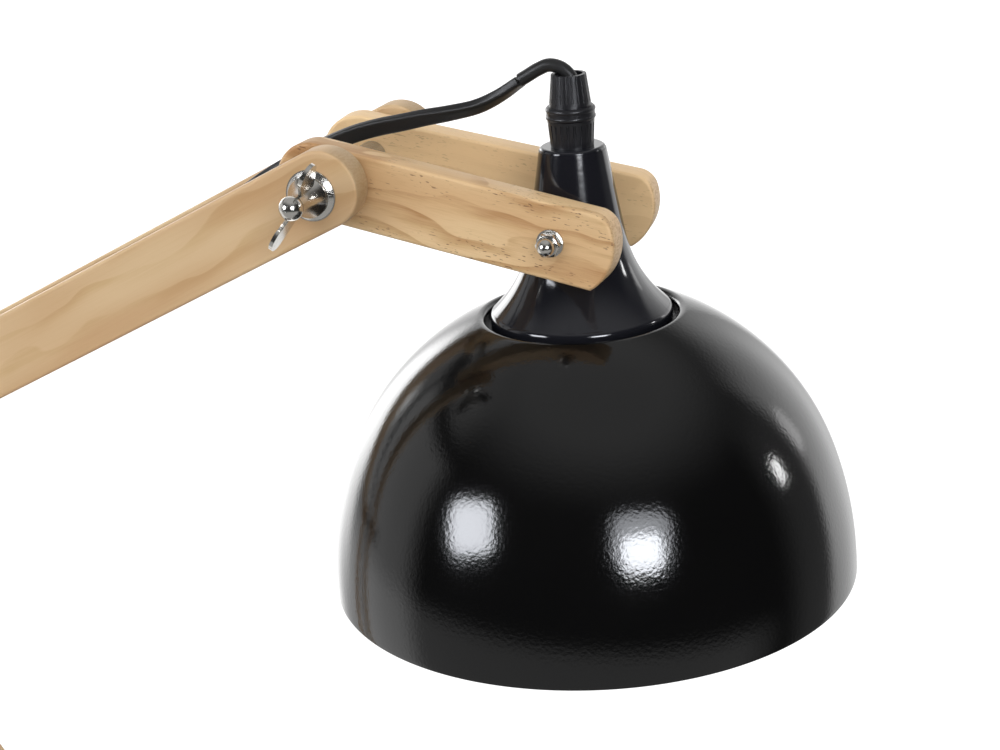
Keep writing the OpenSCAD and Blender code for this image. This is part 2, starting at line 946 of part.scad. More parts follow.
module grip_nut() {
    lean = atan((grip_nut_foot_r - grip_nut_top_r) / grip_nut_h);
    color("#202022")
        at_head()
            translate([0, 0, nut_z])
                difference() {
                    cylinder(h = grip_nut_h, r1 = grip_nut_foot_r, r2 = grip_nut_top_r);
                    translate([0, 0, -1])
                        cylinder(h = grip_nut_h + 2, d = grip_bore);
                    for (k = [0:grip_ribs - 1])
                        rotate(k * 360 / grip_ribs)
                            translate([grip_nut_foot_r + 0.25, 0, 1.6])
                                rotate([0, -lean, 0])
                                    cylinder(h = grip_nut_h + 1, r = 0.55, $fn = 24);
                }
}

// Cord

// Route of the sleeve in the head's own frame: up through the grip, then over its mouth
sleeve_route = [[0, -14], [0, 10], [0, 30], [0.4, 36], [1.9, 41], [1.2, 45.8], [-2, 49.4],
                [-6.3, 50.5], [-10.2, 49.1], [-13.4, 47.3], [-16.2, 45.7]];
// Route of the flat cord from the sleeve to the switch. From the elbow: over its spacer and in between
// the upper bars
over_elbow = [[57.8, 32.9], [51.1, 28.6], [44.2, 24.5], [33.8, 21], [25, 18.5], [16.1, 16], [8.9, 14.1],
              [0.6, 11.3], [-10.1, 6.7], [-21.1, 1.5], [-32, -3.9], [-46, -14.2], [-59, -23], [-76, -33.3]];
// From the knee: in along the upper bars, round the spacer and down between the lower bars
round_knee = [[56.1, 43.2], [39.1, 33.5], [25.1, 25.5], [10.1, 16.7], [-1.4, 10.1], [-6.1, 6], [-7.8, 1.2],
              [-7.5, -3.8], [-5.3, -8.6], [1.6, -19], [9.4, -30], [23.8, -50.5], [38.1, -71], [52.5, -91.5],
              [66.8, -112]];
// From the base: out of the lower arm, over the base's edge and along the table to the switch
to_switch = [[-73, 0, 149.5], [-65, 0, 136.5], [-58, 0, 120], [-55, 0, 103], [-57.5, 0, 84], [-66, 0, 66],
             [-79, 0, 50.5], [-94, 0, 36], [-107, 0, 22], [-118, 0, 10.5], [-129, 0, 3.6], [-140, 0, 1.8],
             [-149.5, 2.5, 1.8], [-156.5, 9, 2.4], [-160, 19, 5.2], [-160, 28, 8], [-160, 36, 8]];
arm_in = elbow + over_elbow[len(over_elbow) - 1];
arm_out = knee + round_knee[0];
arm_rings = 4;
route = concat([for (q = over_elbow) [elbow.x + q.x, 0, elbow.y + q.y]],
               [for (k = [1:arm_rings])
                   let (q = arm_in + (arm_out - arm_in) * k / (arm_rings + 1)) [q.x, 0, q.y]],
               [for (q = round_knee) [knee.x + q.x, 0, knee.y + q.y]],
               to_switch);
floor_from = 43;
switch_at = [-160, 36, 8];
lead_route = [[0, 0, 8], [0, 8, 8], [0, 18, 5.4], [0, 27, 2.9], [0, 34, 2.9]];

// Outlines of the cord's cross-section: a flat stadium and a ring
flat_section = [for (s = [-1, 1]) for (a = [-90:45:90])
    s * [(cord_w - cord_t) / 2 + cord_t / 2 * cos(a), cord_t / 2 * sin(a)]];
ring_section = [for (k = [0:11]) sleeve_d / 2 * [cos(30 * k), sin(30 * k)]];

function unit(v) = v / norm(v);
function heading(p, i) = unit(p[min(i + 1, len(p) - 1)] - p[max(i - 1, 0)]);
// The flat cord leaves the sleeve standing on its edge and turns level inside the upper arm. It lies
// across the arms' plane from there, and across its own way on the table
edge_until = 8;
level_from = 14;
function stand(i) = 90 * max(0, min(1, (level_from - i) / (level_from - edge_until)));
function across(p, i, from) = let (t = heading(p, i))
    i < from ? cos(stand(i)) * [0, 1, 0] + sin(stand(i)) * [t.z, 0, -t.x] : unit([t.y, -t.x, 0]);
function ring_at(p, i, section, from) =
    let (s = across(p, i, from), u = unit(cross(s, heading(p, i))))
    [for (q = section) p[i] + q.x * s + q.y * u];
module swept(p, section, from, first, last) {
    n = len(section);
    rings = [for (i = [first:last]) ring_at(p, i, section, from)];
    m = len(rings);
    polyhedron(points = [for (r = rings) for (q = r) q],
               faces = concat(
                   [[for (k = [0:n - 1]) n - 1 - k]],
                   [for (i = [0:m - 2]) for (k = [0:n - 1])
                       each [[i * n + k, i * n + (k + 1) % n, (i + 1) * n + k],
                             [i * n + (k + 1) % n, (i + 1) * n + (k + 1) % n, (i + 1) * n + k]]],
                   [[for (k = [0:n - 1]) (m - 1) * n + k]]));
}
module cord(first, last) {
    color("#222224")
        swept(route, flat_section, floor_from, first, last);
}
module cord_sleeve() {
    color("#222224")
        at_head()
            swept([for (q = sleeve_route) [q.x, 0, q.y]], ring_section, len(sleeve_route), 0,
                  len(sleeve_route) - 1);
}
module cord_head() {
    cord(0, 6);
}
module cord_elbow() {
    cord(6, 13);
}
module cord_arm() {
    cord(13, 18);
}
module cord_knee() {
    cord(18, 30);
}
module cord_shin() {
    cord(30, 32);
}
module cord_foot() {
    cord(32, 42);
}
module cord_floor() {
    cord(42, len(route) - 1);
}
lead_from = switch_at + [0, switch_l, -switch_at.z];
module cord_lead() {
    p = [for (q = lead_route) lead_from + q];
    color("#222224")
        swept(p, flat_section, 0, 0, len(p) - 1);
}

// Coil: in along the lower layer, up one layer in half a turn, and out along the upper layer
coil_in = 3;
coil_out = 2.75;
turn_rings = 24;
coil_from = lead_from + lead_route[len(lead_route) - 1];
coil_c = coil_from + [coil_r, cord_w, 0];
coil_turns = coil_in + 0.5 + coil_out;
// In the half turn between the layers the cord draws in by the dip, climbs, and comes out again
coil_dip = 0.42 * coil_pitch;
climb = [0.2, 0.8];
function ease(x) = (1 - cos(180 * max(0, min(1, x)))) / 2;
function half_turn(t) = 2 * (t - coil_in);
function coil_rad(t) = t < coil_in ? coil_r - coil_pitch * t
    : t < coil_in + 0.5 ? coil_r - coil_pitch * coil_in
        - coil_dip * ease(min(half_turn(t), 1 - half_turn(t)) / climb[0])
    : coil_r - coil_pitch * (2 * coil_in + 0.5 - t);
function coil_lift(t) = coil_rise * ease((half_turn(t) - climb[0]) / (climb[1] - climb[0]));
function coil_point(t) = coil_c + [-coil_rad(t) * cos(360 * t), coil_rad(t) * sin(360 * t), coil_lift(t)];
coil_last = coil_point(coil_turns);
// Straight run from the last turn to the plug, long enough for the boot to clear the turn below
coil_tail = 30;
coil_path = concat([coil_from],
                   [for (k = [0:round(coil_turns * turn_rings)]) coil_point(k / turn_rings)],
                   [coil_last + [coil_tail / 2, 0, 0], coil_last + [coil_tail, 0, 0]]);
coil_section = [for (s = [-1, 1]) each [[s * cord_w * 0.3, -s * cord_t / 2], [s * cord_w / 2, 0],
                                        [s * cord_w * 0.3, s * cord_t / 2]]];
// Least gap between turns, level or upright, measured on the points of the coil's centre line
coil_gap = min([for (i = [0:len(coil_path) - 1]) for (j = [i + 12:1:len(coil_path) - 1])
    let (d = coil_path[j] - coil_path[i]) max(norm([d.x, d.y]) - cord_w, abs(d.z) - cord_t)]);
echo(coil_gap = coil_gap);
function path_len(p, i = 0) = i > len(p) - 2 ? 0 : norm(p[i + 1] - p[i]) + path_len(p, i + 1);
echo(cord_length = path_len(sleeve_route) + path_len(route) + path_len(lead_route) + path_len(coil_path));
module cord_coil() {
    color("#222224")
        swept(coil_path, coil_section, 0, 0, len(coil_path) - 1);
}
// A strap round all the turns, at the side away from both ends
strap_in = coil_r - coil_pitch * coil_in - cord_w / 2 - 0.8;
strap_out = coil_r + cord_w / 2 + 0.8;
strap_top = coil_c.z + coil_rise + cord_t / 2 + loose;
module coil_strap() {
    color("#3a3a3c")
        translate([coil_c.x, coil_c.y, 0])
            rotate(-40)
                translate([0, -strap_w / 2, 0])
                    difference() {
                        translate([strap_in - strap_t, 0, 0])
                            cube([strap_out - strap_in + 2 * strap_t, strap_w, strap_top + strap_t]);
                        translate([strap_in, -1, strap_t])
                            cube([strap_out - strap_in, strap_w + 2, strap_top - strap_t]);
                    }
}

// Switch in the cord

case_r = 8;
split_z = 9.5;
lug_t = 3;
pin_r = 1.5;
pivot_z = switch_h - switch_wall - pin_r - 2 * loose;
// the rocker's ends swing by this much beyond its length
rocker_crown = 1.4;
slot_l = rocker_l + 2 * (loose + (switch_h - pivot_z + rocker_crown) * sin(rocker_tilt));
slot_w = rocker_w + 2 * loose;
module case_area(wall) {
    w = switch_w - 2 * wall;
    l = switch_l - 2 * wall;
    r = case_r - wall;
    square([w, l - 2 * r], center = true);
    square([w - 2 * r, l], center = true);
    for (x = [-1, 1], y = [-1, 1])
        translate([x * (w / 2 - r), y * (l / 2 - r)])
            circle(r);
}
module at_switch() {
    translate([switch_at.x, switch_at.y + switch_l / 2, 0])
        children();
}
module switch_bottom() {
    color("#1f1f21")
        at_switch()
            difference() {
                linear_extrude(split_z)
                    case_area(0);
                translate([0, 0, switch_wall])
                    linear_extrude(split_z)
                        case_area(switch_wall);
            }
}
module switch_top() {
    color("#1f1f21")
        at_switch() {
            difference() {
                translate([0, 0, split_z])
                    linear_extrude(switch_h - split_z)
                        case_area(0);
                translate([0, 0, split_z - 1])
                    linear_extrude(switch_h - switch_wall - split_z + 1)
                        case_area(switch_wall);
                translate([-slot_w / 2, -slot_l / 2, split_z])
                    cube([slot_w, slot_l, switch_h]);
            }
            for (s = [-1, 1])
                difference() {
                    translate([s * (slot_w + lug_t) / 2 - lug_t / 2, -3, pivot_z - 3])
                        cube([lug_t, 6, switch_h - switch_wall - pivot_z + 3 + eps]);
                    translate([s * (slot_w + lug_t) / 2 - lug_t / 2 - 1, 0, pivot_z])
                        rotate([0, 90, 0])
                            cylinder(h = lug_t + 2, r = pin_r + run);
                }
        }
}
module switch_rocker() {
    half = rocker_l / 2;
    top = switch_h - pivot_z;
    color("#2b2b2d")
        at_switch()
            translate([0, 0, pivot_z])
                rotate([rocker_tilt, 0, 0]) {
                    rotate([90, 0, 90])
                        translate([0, 0, -rocker_w / 2])
                            linear_extrude(rocker_w) {
                                polygon([[-half, top + rocker_crown], [-half * 0.5, top + 0.7], [0, top + 0.5],
                                         [half * 0.5, top + 0.7], [half, top + rocker_crown],
                                         [half - 0.6, -0.6], [3, -2], [-3, -2], [0.6 - half, -0.6]]);
                            }
                    rotate([0, 90, 0])
                        translate([0, 0, -(slot_w + 2 * lug_t) / 2])
                            cylinder(h = slot_w + 2 * lug_t, r = pin_r);
                }
}

// Plug, lying flat beside the coil

plug_from = coil_last + [coil_tail, 0, 0];
plug_half = plug_from.z;
boot_r = 3.6;
boot_foot_r = 5.6;
module plug_outline() {
    // from the boot to the face, with rounded shoulders
    corner = 5;
    waist = 8;
    polygon([[0, -waist], [plug_l - corner, -plug_w / 2], [plug_l - corner, plug_w / 2], [0, waist]]);
    translate([plug_l - corner, corner - plug_w / 2])
        square([corner, plug_w - 2 * corner]);
    for (s = [-1, 1])
        translate([plug_l - corner, s * (plug_w / 2 - corner)])
            circle(corner);
}
module plug_body() {
    ribs = 4;
    color("#1f1f21")
        translate(plug_from) {
            difference() {
                rotate([0, 90, 0])
                    cylinder(h = boot_l, r1 = boot_r, r2 = boot_foot_r);
                // the boot's bending slots
                for (k = [1:ribs])
                    translate([k * boot_l / (ribs + 1) - 0.6, 0, 0])
                        for (s = [-1, 1])
                            translate([0, s * 4.4 - 2, -boot_foot_r])
                                cube([1.2, 4, 2 * boot_foot_r]);
            }
            translate([boot_l - eps, 0, -plug_half])
                difference() {
                    linear_extrude(2 * plug_half)
                        plug_outline();
                    for (s = [-1, 1])
                        translate([plug_l - 6, s * pin_pitch / 2, plug_half])
                            rotate([0, 90, 0])
                                cylinder(h = 7, d = pin_d);
                }
        }
}
module plug_pins() {
    color(chrome)
        translate(plug_from + [boot_l - eps + plug_l - 6, 0, 0])
            for (s = [-1, 1])
                translate([0, s * pin_pitch / 2, 0])
                    rotate([0, 90, 0]) {
                        cylinder(h = 6 + pin_l - pin_d / 2, d = pin_d);
                        translate([0, 0, 6 + pin_l - pin_d / 2])
                            sphere(d = pin_d);
                    }
}

base_cover();
base_ballast();
base_pad();
base_post();
post_screws();
base_bolt();
base_washers();
base_wing_nut();
lower_bar_front();
lower_bar_rear();
knee_spacer();
knee_bolt();
knee_washers();
knee_fibre();
knee_wing_nut();
upper_bar_front();
upper_bar_rear();
elbow_bolt();
elbow_washers();
elbow_fibre();
elbow_wing_nut();
yoke_bar_front();
yoke_bar_rear();
elbow_spacer();
stud_washers();
neck();
neck_studs();
neck_washers();
acorn_nuts();
shade();
shade_ring();
nipple();
nipple_nut();
holder_cap();
holder_body();
holder_core();
bulb_cap();
bulb_glass();
grip_body();
grip_nut();
cord_sleeve();
cord_head();
cord_elbow();
cord_arm();
cord_knee();
cord_shin();
cord_foot();
cord_floor();
cord_lead();
cord_coil();
coil_strap();
switch_bottom();
switch_top();
switch_rocker();
plug_body();
plug_pins();
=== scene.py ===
# %% [markdown]
# # A pine and black desk lamp
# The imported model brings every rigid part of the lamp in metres. This lesson dresses it: it sets a camera
# where the photograph was taken, lays the cord, eases the edges of the pine bars, turns the shade again
# with finer steps, gives each surface a finish made of nodes, and lights the lamp as a small studio would.

# %% Load the frame
import json
import math
import bpy
import numpy as np
from mathutils.geometry import delaunay_2d_cdt
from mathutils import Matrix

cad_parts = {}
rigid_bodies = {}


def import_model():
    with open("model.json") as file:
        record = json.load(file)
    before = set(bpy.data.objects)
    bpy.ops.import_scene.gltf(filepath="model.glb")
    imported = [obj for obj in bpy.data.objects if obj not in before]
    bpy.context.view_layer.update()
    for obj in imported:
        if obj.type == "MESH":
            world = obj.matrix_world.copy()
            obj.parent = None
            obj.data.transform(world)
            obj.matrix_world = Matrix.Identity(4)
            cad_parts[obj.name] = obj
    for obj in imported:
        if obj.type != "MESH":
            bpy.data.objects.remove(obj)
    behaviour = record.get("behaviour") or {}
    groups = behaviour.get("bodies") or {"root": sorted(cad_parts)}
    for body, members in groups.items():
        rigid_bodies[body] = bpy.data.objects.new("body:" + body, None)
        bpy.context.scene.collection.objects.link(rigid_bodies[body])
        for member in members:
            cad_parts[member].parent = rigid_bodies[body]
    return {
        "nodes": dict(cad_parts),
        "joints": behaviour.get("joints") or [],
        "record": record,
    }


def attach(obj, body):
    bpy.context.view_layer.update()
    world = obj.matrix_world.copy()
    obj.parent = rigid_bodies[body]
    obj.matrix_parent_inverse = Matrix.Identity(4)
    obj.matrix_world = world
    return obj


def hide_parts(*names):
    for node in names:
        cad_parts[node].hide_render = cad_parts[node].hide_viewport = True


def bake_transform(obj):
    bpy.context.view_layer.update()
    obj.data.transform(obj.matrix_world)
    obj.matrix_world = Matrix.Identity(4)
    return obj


def rounded(values):
    """The numbers to three decimals, for printing."""
    return [round(value, 3) for value in values]


for leftover in list(bpy.data.objects):
    bpy.data.objects.remove(leftover)
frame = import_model()
bpy.context.view_layer.update()
nodes = frame["nodes"]

# %% [markdown]
# ## Camera
# A camera is matched to a photograph by its place, its heading and its lens. These three were fitted to
# the outlines of the shade, the neck and the yoke, so nothing is framed by eye.

# %% Camera
view_yaw, view_pitch = 18.3477, 21.1582             # degrees
camera_place = (0.377298, -0.597715, 0.609243)      # metres
lens_mm, sensor_mm = 71.0148, 36.0
lens = bpy.data.cameras.new("photo_camera")
lens.lens = lens_mm
lens.sensor_width = sensor_mm
camera = bpy.data.objects.new("photo_camera", lens)
camera.location = camera_place
camera.rotation_euler = (math.radians(90 - view_pitch), 0, math.radians(view_yaw))
bpy.context.scene.collection.objects.link(camera)
bpy.context.scene.camera = camera
print("camera at", rounded(camera.location), "with a lens of", round(lens.lens, 1), "mm")

# %% [markdown]
# ## Surfaces from numbers
# Most new pieces are a grid of points: one direction runs along the piece and the other round it. A helper
# turns such a grid into a closed mesh, so each piece below only has to say where its points lie.

# %% Grid helpers
MM = 0.001


def grid_faces(rows, columns, wrap_rows=False):
    """Faces of a grid whose columns close on themselves: each joins a point, its neighbour in the ring,
    and the same two in the next row. With wrap_rows the last row joins the first."""
    row = np.arange(rows if wrap_rows else rows - 1)[:, None]
    column = np.arange(columns)[None, :]
    here, after = row * columns, (row + 1) % rows * columns
    beside = (column + 1) % columns
    return np.stack([here + column, here + beside, after + beside, after + column], -1).reshape(-1, 4)


def piece_of(name, points, faces, flat_from=None):
    """A mesh object at the origin from points in millimetres. Faces from flat_from on are flat caps."""
    mesh = bpy.data.meshes.new(name)
    mesh.from_pydata((points.reshape(-1, 3) * MM).tolist(), [], faces)
    mesh.validate()
    smooth = np.ones(len(mesh.polygons), bool)
    if flat_from is not None:
        smooth[flat_from:] = False
    mesh.polygons.foreach_set("use_smooth", smooth)
    mesh.update()
    piece = bpy.data.objects.new(name, mesh)
    bpy.context.scene.collection.objects.link(piece)
    return piece


def tube(name, rings, middle):
    """Rings of points, one after another along a path, skinned and closed by a flat cap at each end. The
    shading normals are the cross product of the ways along and round the grid, so neighbouring lengths
    meet unseen."""
    rows, columns = rings.shape[:2]
    caps = [list(range(columns))[::-1], list(range((rows - 1) * columns, rows * columns))]
    piece = piece_of(name, rings, grid_faces(rows, columns).tolist() + caps)
    normals = np.cross(np.roll(rings, -1, 1) - np.roll(rings, 1, 1), np.gradient(rings, axis=0))
    normals *= np.sign((normals * (rings - middle[:, None])).sum(-1, keepdims=True))
    normals /= np.linalg.norm(normals, axis=-1, keepdims=True)
    piece.data.normals_split_custom_set_from_vertices(normals.reshape(-1, 3).tolist())
    return piece


# %% Places of the hinges
joint_places = {joint["name"]: np.round(np.array(joint["pos_m"]) / MM, 3) for joint in frame["joints"]}
pivots = {"lower": joint_places["base_hinge"], "upper": joint_places["knee"],
          "yoke": joint_places["elbow"], "head": joint_places["head_tilt"]}
ACROSS = np.array([0.0, 1.0, 0.0])      # along every bolt, from the front bars to the rear ones
for name, pivot in pivots.items():
    print(name, "turns about", pivot.tolist(), "mm")

# %% [markdown]
# ## Cord
# The lamp's lead is a flat cord. It leaves the grip in a short round sleeve, drops onto the yoke standing
# on its edge, runs down between the arm bars, rounds the knee, and comes out above the base. The part that
# no picture shows is put away: a switch, then a small coil with a tie. A curve object could give a round
# cord, but a flat one needs its own cross-section, so the section is carried along the path. Each hinge
# gets its own length of cord: a length that spans a hinge stays fixed where it is laid, and the others ride
# their body.

# %% Cord route
# along and up from the elbow, along and up from the knee, and then places in the frame
over_elbow = [[57.8, 32.9], [51.1, 27.9], [44.2, 24], [33.8, 20.7], [25, 18.5], [16.1, 16], [8.9, 14.1],
              [0.6, 11.3], [-10.1, 6.4], [-21.1, 0.4], [-32, -6.4], [-46, -16.6], [-59, -25.4], [-76, -35.4]]
round_knee = [[56.1, 43.2], [39.1, 33.5], [25.1, 25.5], [10.1, 16.7], [-1.4, 10.1], [-6.1, 6], [-7.8, 1.2],
              [-7.5, -3.8], [-5.3, -8.6], [1.6, -19], [9.4, -30], [23.8, -50.5], [38.1, -71], [52.5, -91.5],
              [66.8, -112]]
to_switch = [[-73, 0, 149.5], [-65, 0, 136.5], [-58, 0, 120], [-55, 0, 103], [-57.5, 0, 84], [-66, 0, 66],
             [-79, 0, 50.5], [-94, 0, 36], [-107, 0, 22], [-118, 0, 10.5], [-129, 0, 3.6], [-140, 0, 1.8],
             [-149.5, 2.5, 1.8], [-156.5, 9, 2.4], [-160, 19, 5.2], [-160, 28, 8], [-160, 36, 8]]
arm_points = 4          # more points along the upper arm, between the elbow's and the knee's


def from_pivot(bar, points):
    """Points (along, up) in the lamp's middle plane, counted from a bar's pivot."""
    return pivots[bar] + np.insert(np.array(points, float), 1, 0, axis=1)


upper_part, lower_part = from_pivot("yoke", over_elbow), from_pivot("upper", round_knee)
along_arm = np.linspace(upper_part[-1], lower_part[0], arm_points + 2)[1:-1]
route = np.vstack([upper_part, along_arm, lower_part, np.array(to_switch, float)])
print(len(route), "points on the cord's route")

# %% Cord path and section
cord_w, cord_t, sleeve_d = 5.8, 3.4, 4.4
cord_sides, corner_power = 40, 0.5


def smooth_path(points, steps):
    """A curve through the points: each span is a cubic that starts and ends along the mean headings."""
    span = np.linalg.norm(np.diff(points, axis=0), axis=1)
    slope = np.gradient(points, np.r_[0, np.cumsum(span)], axis=0)
    t = np.linspace(0, 1, steps, endpoint=False)[None, :, None]
    stretch = span[:, None, None]
    start, end = points[:-1, None], points[1:, None]
    leaving, arriving = slope[:-1, None] * stretch, slope[1:, None] * stretch
    curve = (start * (2 * t**3 - 3 * t**2 + 1) + leaving * (t**3 - 2 * t**2 + t)
             + end * (3 * t**2 - 2 * t**3) + arriving * (t**3 - t**2))
    return np.vstack([curve.reshape(-1, 3), points[-1:]])


def path_length(path):
    """The distances between neighbouring points, added up."""
    return float(np.linalg.norm(np.diff(path, axis=0), axis=1).sum())


def headings(path):
    """Unit direction of the path at each point."""
    way = np.gradient(path, axis=0)
    return way / np.linalg.norm(way, axis=1, keepdims=True)


def round_section(diameter, count):
    """Points of a circle."""
    turn = np.linspace(0, 2 * np.pi, count, endpoint=False)
    return diameter / 2 * np.stack([np.cos(turn), np.sin(turn)], -1)


def flat_section(count):
    """A flat oblong with rounded corners: a circle's cosine and sine, each raised to the corner power with
    its sign kept, stretched to the cord's width and thickness."""
    circle = round_section(2, count)
    return np.sign(circle) * np.abs(circle)**corner_power * np.array([cord_w, cord_t]) / 2


def carried(path, section, side):
    """The section's points at each place on the path: across along side, up at right angles to both."""
    way = headings(path)
    side = side - (side * way).sum(1, keepdims=True) * way
    side /= np.linalg.norm(side, axis=1, keepdims=True)
    up = np.cross(way, side)
    return path[:, None] + section[None, :, :1] * side[:, None] + section[None, :, 1:] * up[:, None]


def level_side(way):
    """The direction at right angles to the way that lies flat on the table."""
    return np.stack([way[:, 1], -way[:, 0], 0 * way[:, 0]], -1)


# %% Cord on the lamp
steps_per_span = 6
table_from = 43                                     # route point from which the cord lies on the table
turn_points, turn_degrees = [0, 5, 8, 14], [165, 112, 100, 0]      # 0 lies flat, and 90 stands on edge

cord_path = smooth_path(route, steps_per_span)
cord_way = headings(cord_path)
place_on_route = np.arange(len(cord_path)) / steps_per_span
stand = np.radians(np.interp(place_on_route, turn_points, turn_degrees))[:, None]
upright = np.stack([cord_way[:, 2], 0 * cord_way[:, 0], -cord_way[:, 0]], -1)
standing = np.cos(stand) * ACROSS + np.sin(stand) * upright
cord_side = np.where(place_on_route[:, None] >= table_from, level_side(cord_way), standing)
cord_rings = carried(cord_path, flat_section(cord_sides), cord_side)
print("cord on the lamp:", round(path_length(cord_path)), "mm")

# %% Cord lengths between the hinges
stretches = {  # first and last route point, and the bodies that carry it
    "cord_head": (0, 6, "head", "yoke"), "cord_elbow": (6, 13, "yoke", "upper_arm"),
    "cord_arm": (13, 18, "upper_arm", None), "cord_knee": (18, 30, "upper_arm", "lower_arm"),
    "cord_shin": (30, 32, "lower_arm", None), "cord_foot": (32, 42, "lower_arm", "base"),
    "cord_floor": (42, 49, "base", None)}
cord_pieces = []


def declare_cord(piece, node_names):
    """Hides the cord's own nodes and keeps the new piece, to be dressed later."""
    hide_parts(*node_names)
    cord_pieces.append(piece)


for node_name, (first, last, body, next_body) in stretches.items():
    rows = slice(first * steps_per_span, last * steps_per_span + 1)
    piece = tube(node_name.replace("cord_", "lead_"), cord_rings[rows], cord_path[rows])
    declare_cord(piece, [node_name])
    if next_body is None:
        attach(piece, body)
    else:
        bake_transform(piece)

# %% Sleeve in the grip
head_lean = math.radians(4)
head_x = np.array([math.cos(head_lean), 0.0, math.sin(head_lean)])
head_z = np.array([-math.sin(head_lean), 0.0, math.cos(head_lean)])
# across and along the neck's axis, from the head's pivot
sleeve_route = np.array([[0, -14], [0, 10], [0, 30], [0.4, 36], [1.9, 41], [1.2, 45.8], [-2, 49.4],
                         [-6.3, 50.5], [-10.2, 49.1], [-13.4, 47.3], [-16.2, 45.7]], float)
sleeve_steps, sleeve_sides = 8, 28

sleeve_points = pivots["head"] + sleeve_route[:, :1] * head_x + sleeve_route[:, 1:] * head_z
sleeve_path = smooth_path(sleeve_points, sleeve_steps)
sleeve_rings = carried(sleeve_path, round_section(sleeve_d, sleeve_sides), ACROSS)
sleeve = tube("lead_sleeve", sleeve_rings, sleeve_path)
declare_cord(sleeve, ["cord_sleeve"])
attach(sleeve, "head")

# %% Coil and plug lead
coil_r, coil_pitch, coil_rise = 41.6, 6.4, 4.0
turns_in, turns_climbing, turns_out = 3.0, 0.5, 2.75
draw_in, ramp = 0.42, 0.2               # shares of the pitch, and of the climb
coil_sides, lead_steps, points_per_turn = 24, 6, 44
tail_steps = np.array([10.0, 20.0, 30.0])
lead_route = np.array([[0, 0, 8], [0, 8, 8], [0, 18, 5.4], [0, 27, 2.9], [0, 34, 2.9]], float)
lead_start = np.array([-160.0, 92.0, 0.0])
coil_middle = lead_start + lead_route[-1] + [coil_r, cord_w, 0]


def eased(x):
    """Rises smoothly from 0 to 1."""
    return (1 - np.cos(np.pi * np.clip(x, 0, 1))) / 2


def coil_points(turn):
    """An inward spiral on the lower layer, half a turn that draws in and climbs, an outward one above."""
    climb = (turn - turns_in) / turns_climbing
    dip = draw_in * coil_pitch * eased(np.minimum(climb, 1 - climb) / ramp)
    inward = coil_r - coil_pitch * turn
    climbing = coil_r - coil_pitch * turns_in - dip
    outward = coil_r - coil_pitch * (2 * turns_in + turns_climbing - turn)
    radius = np.where(turn < turns_in, inward, np.where(turn < turns_in + turns_climbing, climbing, outward))
    lift = coil_rise * eased((climb - ramp) / (1 - 2 * ramp))
    angle = 2 * np.pi * turn
    return coil_middle + np.stack([-radius * np.cos(angle), radius * np.sin(angle), lift], -1)


coil_turns = turns_in + turns_climbing + turns_out
coil_body = coil_points(np.linspace(0, coil_turns, int(coil_turns * points_per_turn)))
coil_tail = coil_body[-1] + tail_steps[:, None] * np.array([1.0, 0.0, 0.0])
coil_path = np.vstack([smooth_path(lead_start + lead_route, lead_steps), coil_body, coil_tail])
coil_rings = carried(coil_path, flat_section(coil_sides), level_side(headings(coil_path)))
coil = tube("lead_coil", coil_rings, coil_path)
declare_cord(coil, ["cord_lead", "cord_coil"])
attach(coil, "base")

# %% [markdown]
# ## Pine bars
# The bars are planed boards with their edges sanded round. A block with a bevel would do for a straight
# board, but these have round ends, a shallow nose and bolt holes. So the outline is drawn as a loop of
# points, and the loop is repeated through the thickness: near each face it draws in along a quarter
# circle, which is the eased edge. The two faces are filled between the outline and the holes.

# %% Outline helpers
sharpest = 0.6          # limits how far a sharp corner moves


def arc(centre, radius, start, end, count):
    """Points on a circle from one angle to another, in degrees."""
    turn = np.radians(np.linspace(start, end, count))
    return np.asarray(centre, float) + radius * np.stack([np.cos(turn), np.sin(turn)], -1)


def angle_of(vector):
    """The angle of a flat vector, in degrees."""
    return math.degrees(math.atan2(vector[1], vector[0]))


def filled_in(loop, spacing):
    """The closed loop with points added so that none lie further apart than the spacing."""
    way = np.roll(loop, -1, axis=0) - loop
    counts = np.maximum(1, np.ceil(np.linalg.norm(way, axis=1) / spacing)).astype(int)
    start, part = np.repeat(loop, counts, axis=0), np.repeat(way / counts[:, None], counts, axis=0)
    step = np.arange(counts.sum()) - np.repeat(np.r_[0, np.cumsum(counts)[:-1]], counts)
    return start + part * step[:, None]


def drawn_in(loop, amount):
    """The loop moved inward along the mean of its two neighbouring edges' normals."""
    edge = np.roll(loop, -1, axis=0) - loop
    edge /= np.linalg.norm(edge, axis=1, keepdims=True)
    normal = np.stack([edge[:, 1], -edge[:, 0]], -1)
    mean = normal + np.roll(normal, 1, axis=0)
    mean /= np.maximum((mean * mean).sum(1, keepdims=True), sharpest) / 2
    return loop - amount * mean


# %% Eased bar helpers
edge_ease, ease_steps = 1.0, 5
face_margin = 1.3       # one more ring on each face, so that the eased edge runs smoothly into the flat
bore_points, fill_inside, merge_distance = 48, 1, 1e-6


def edge_rings(loop, depths):
    """Rings of the outline through the thickness, which draw in along a quarter circle near each face."""
    bend = np.linspace(0, np.pi / 2, ease_steps)
    inset = np.r_[edge_ease * face_margin, edge_ease * (1 - np.sin(bend))]
    depth = np.r_[depths[0], depths[0] + edge_ease * (1 - np.cos(bend))]
    insets, levels = np.r_[inset, inset[::-1]], np.r_[depth, depths[0] + depths[1] - depth[::-1]]
    return [np.insert(drawn_in(loop, inward), 1, level, axis=1) for inward, level in zip(insets, levels)]


def bore_ring(centre, radius, depth):
    """Points round a bore at one depth."""
    return np.insert(np.asarray(centre) + round_section(2 * radius, bore_points), 1, depth, axis=1)


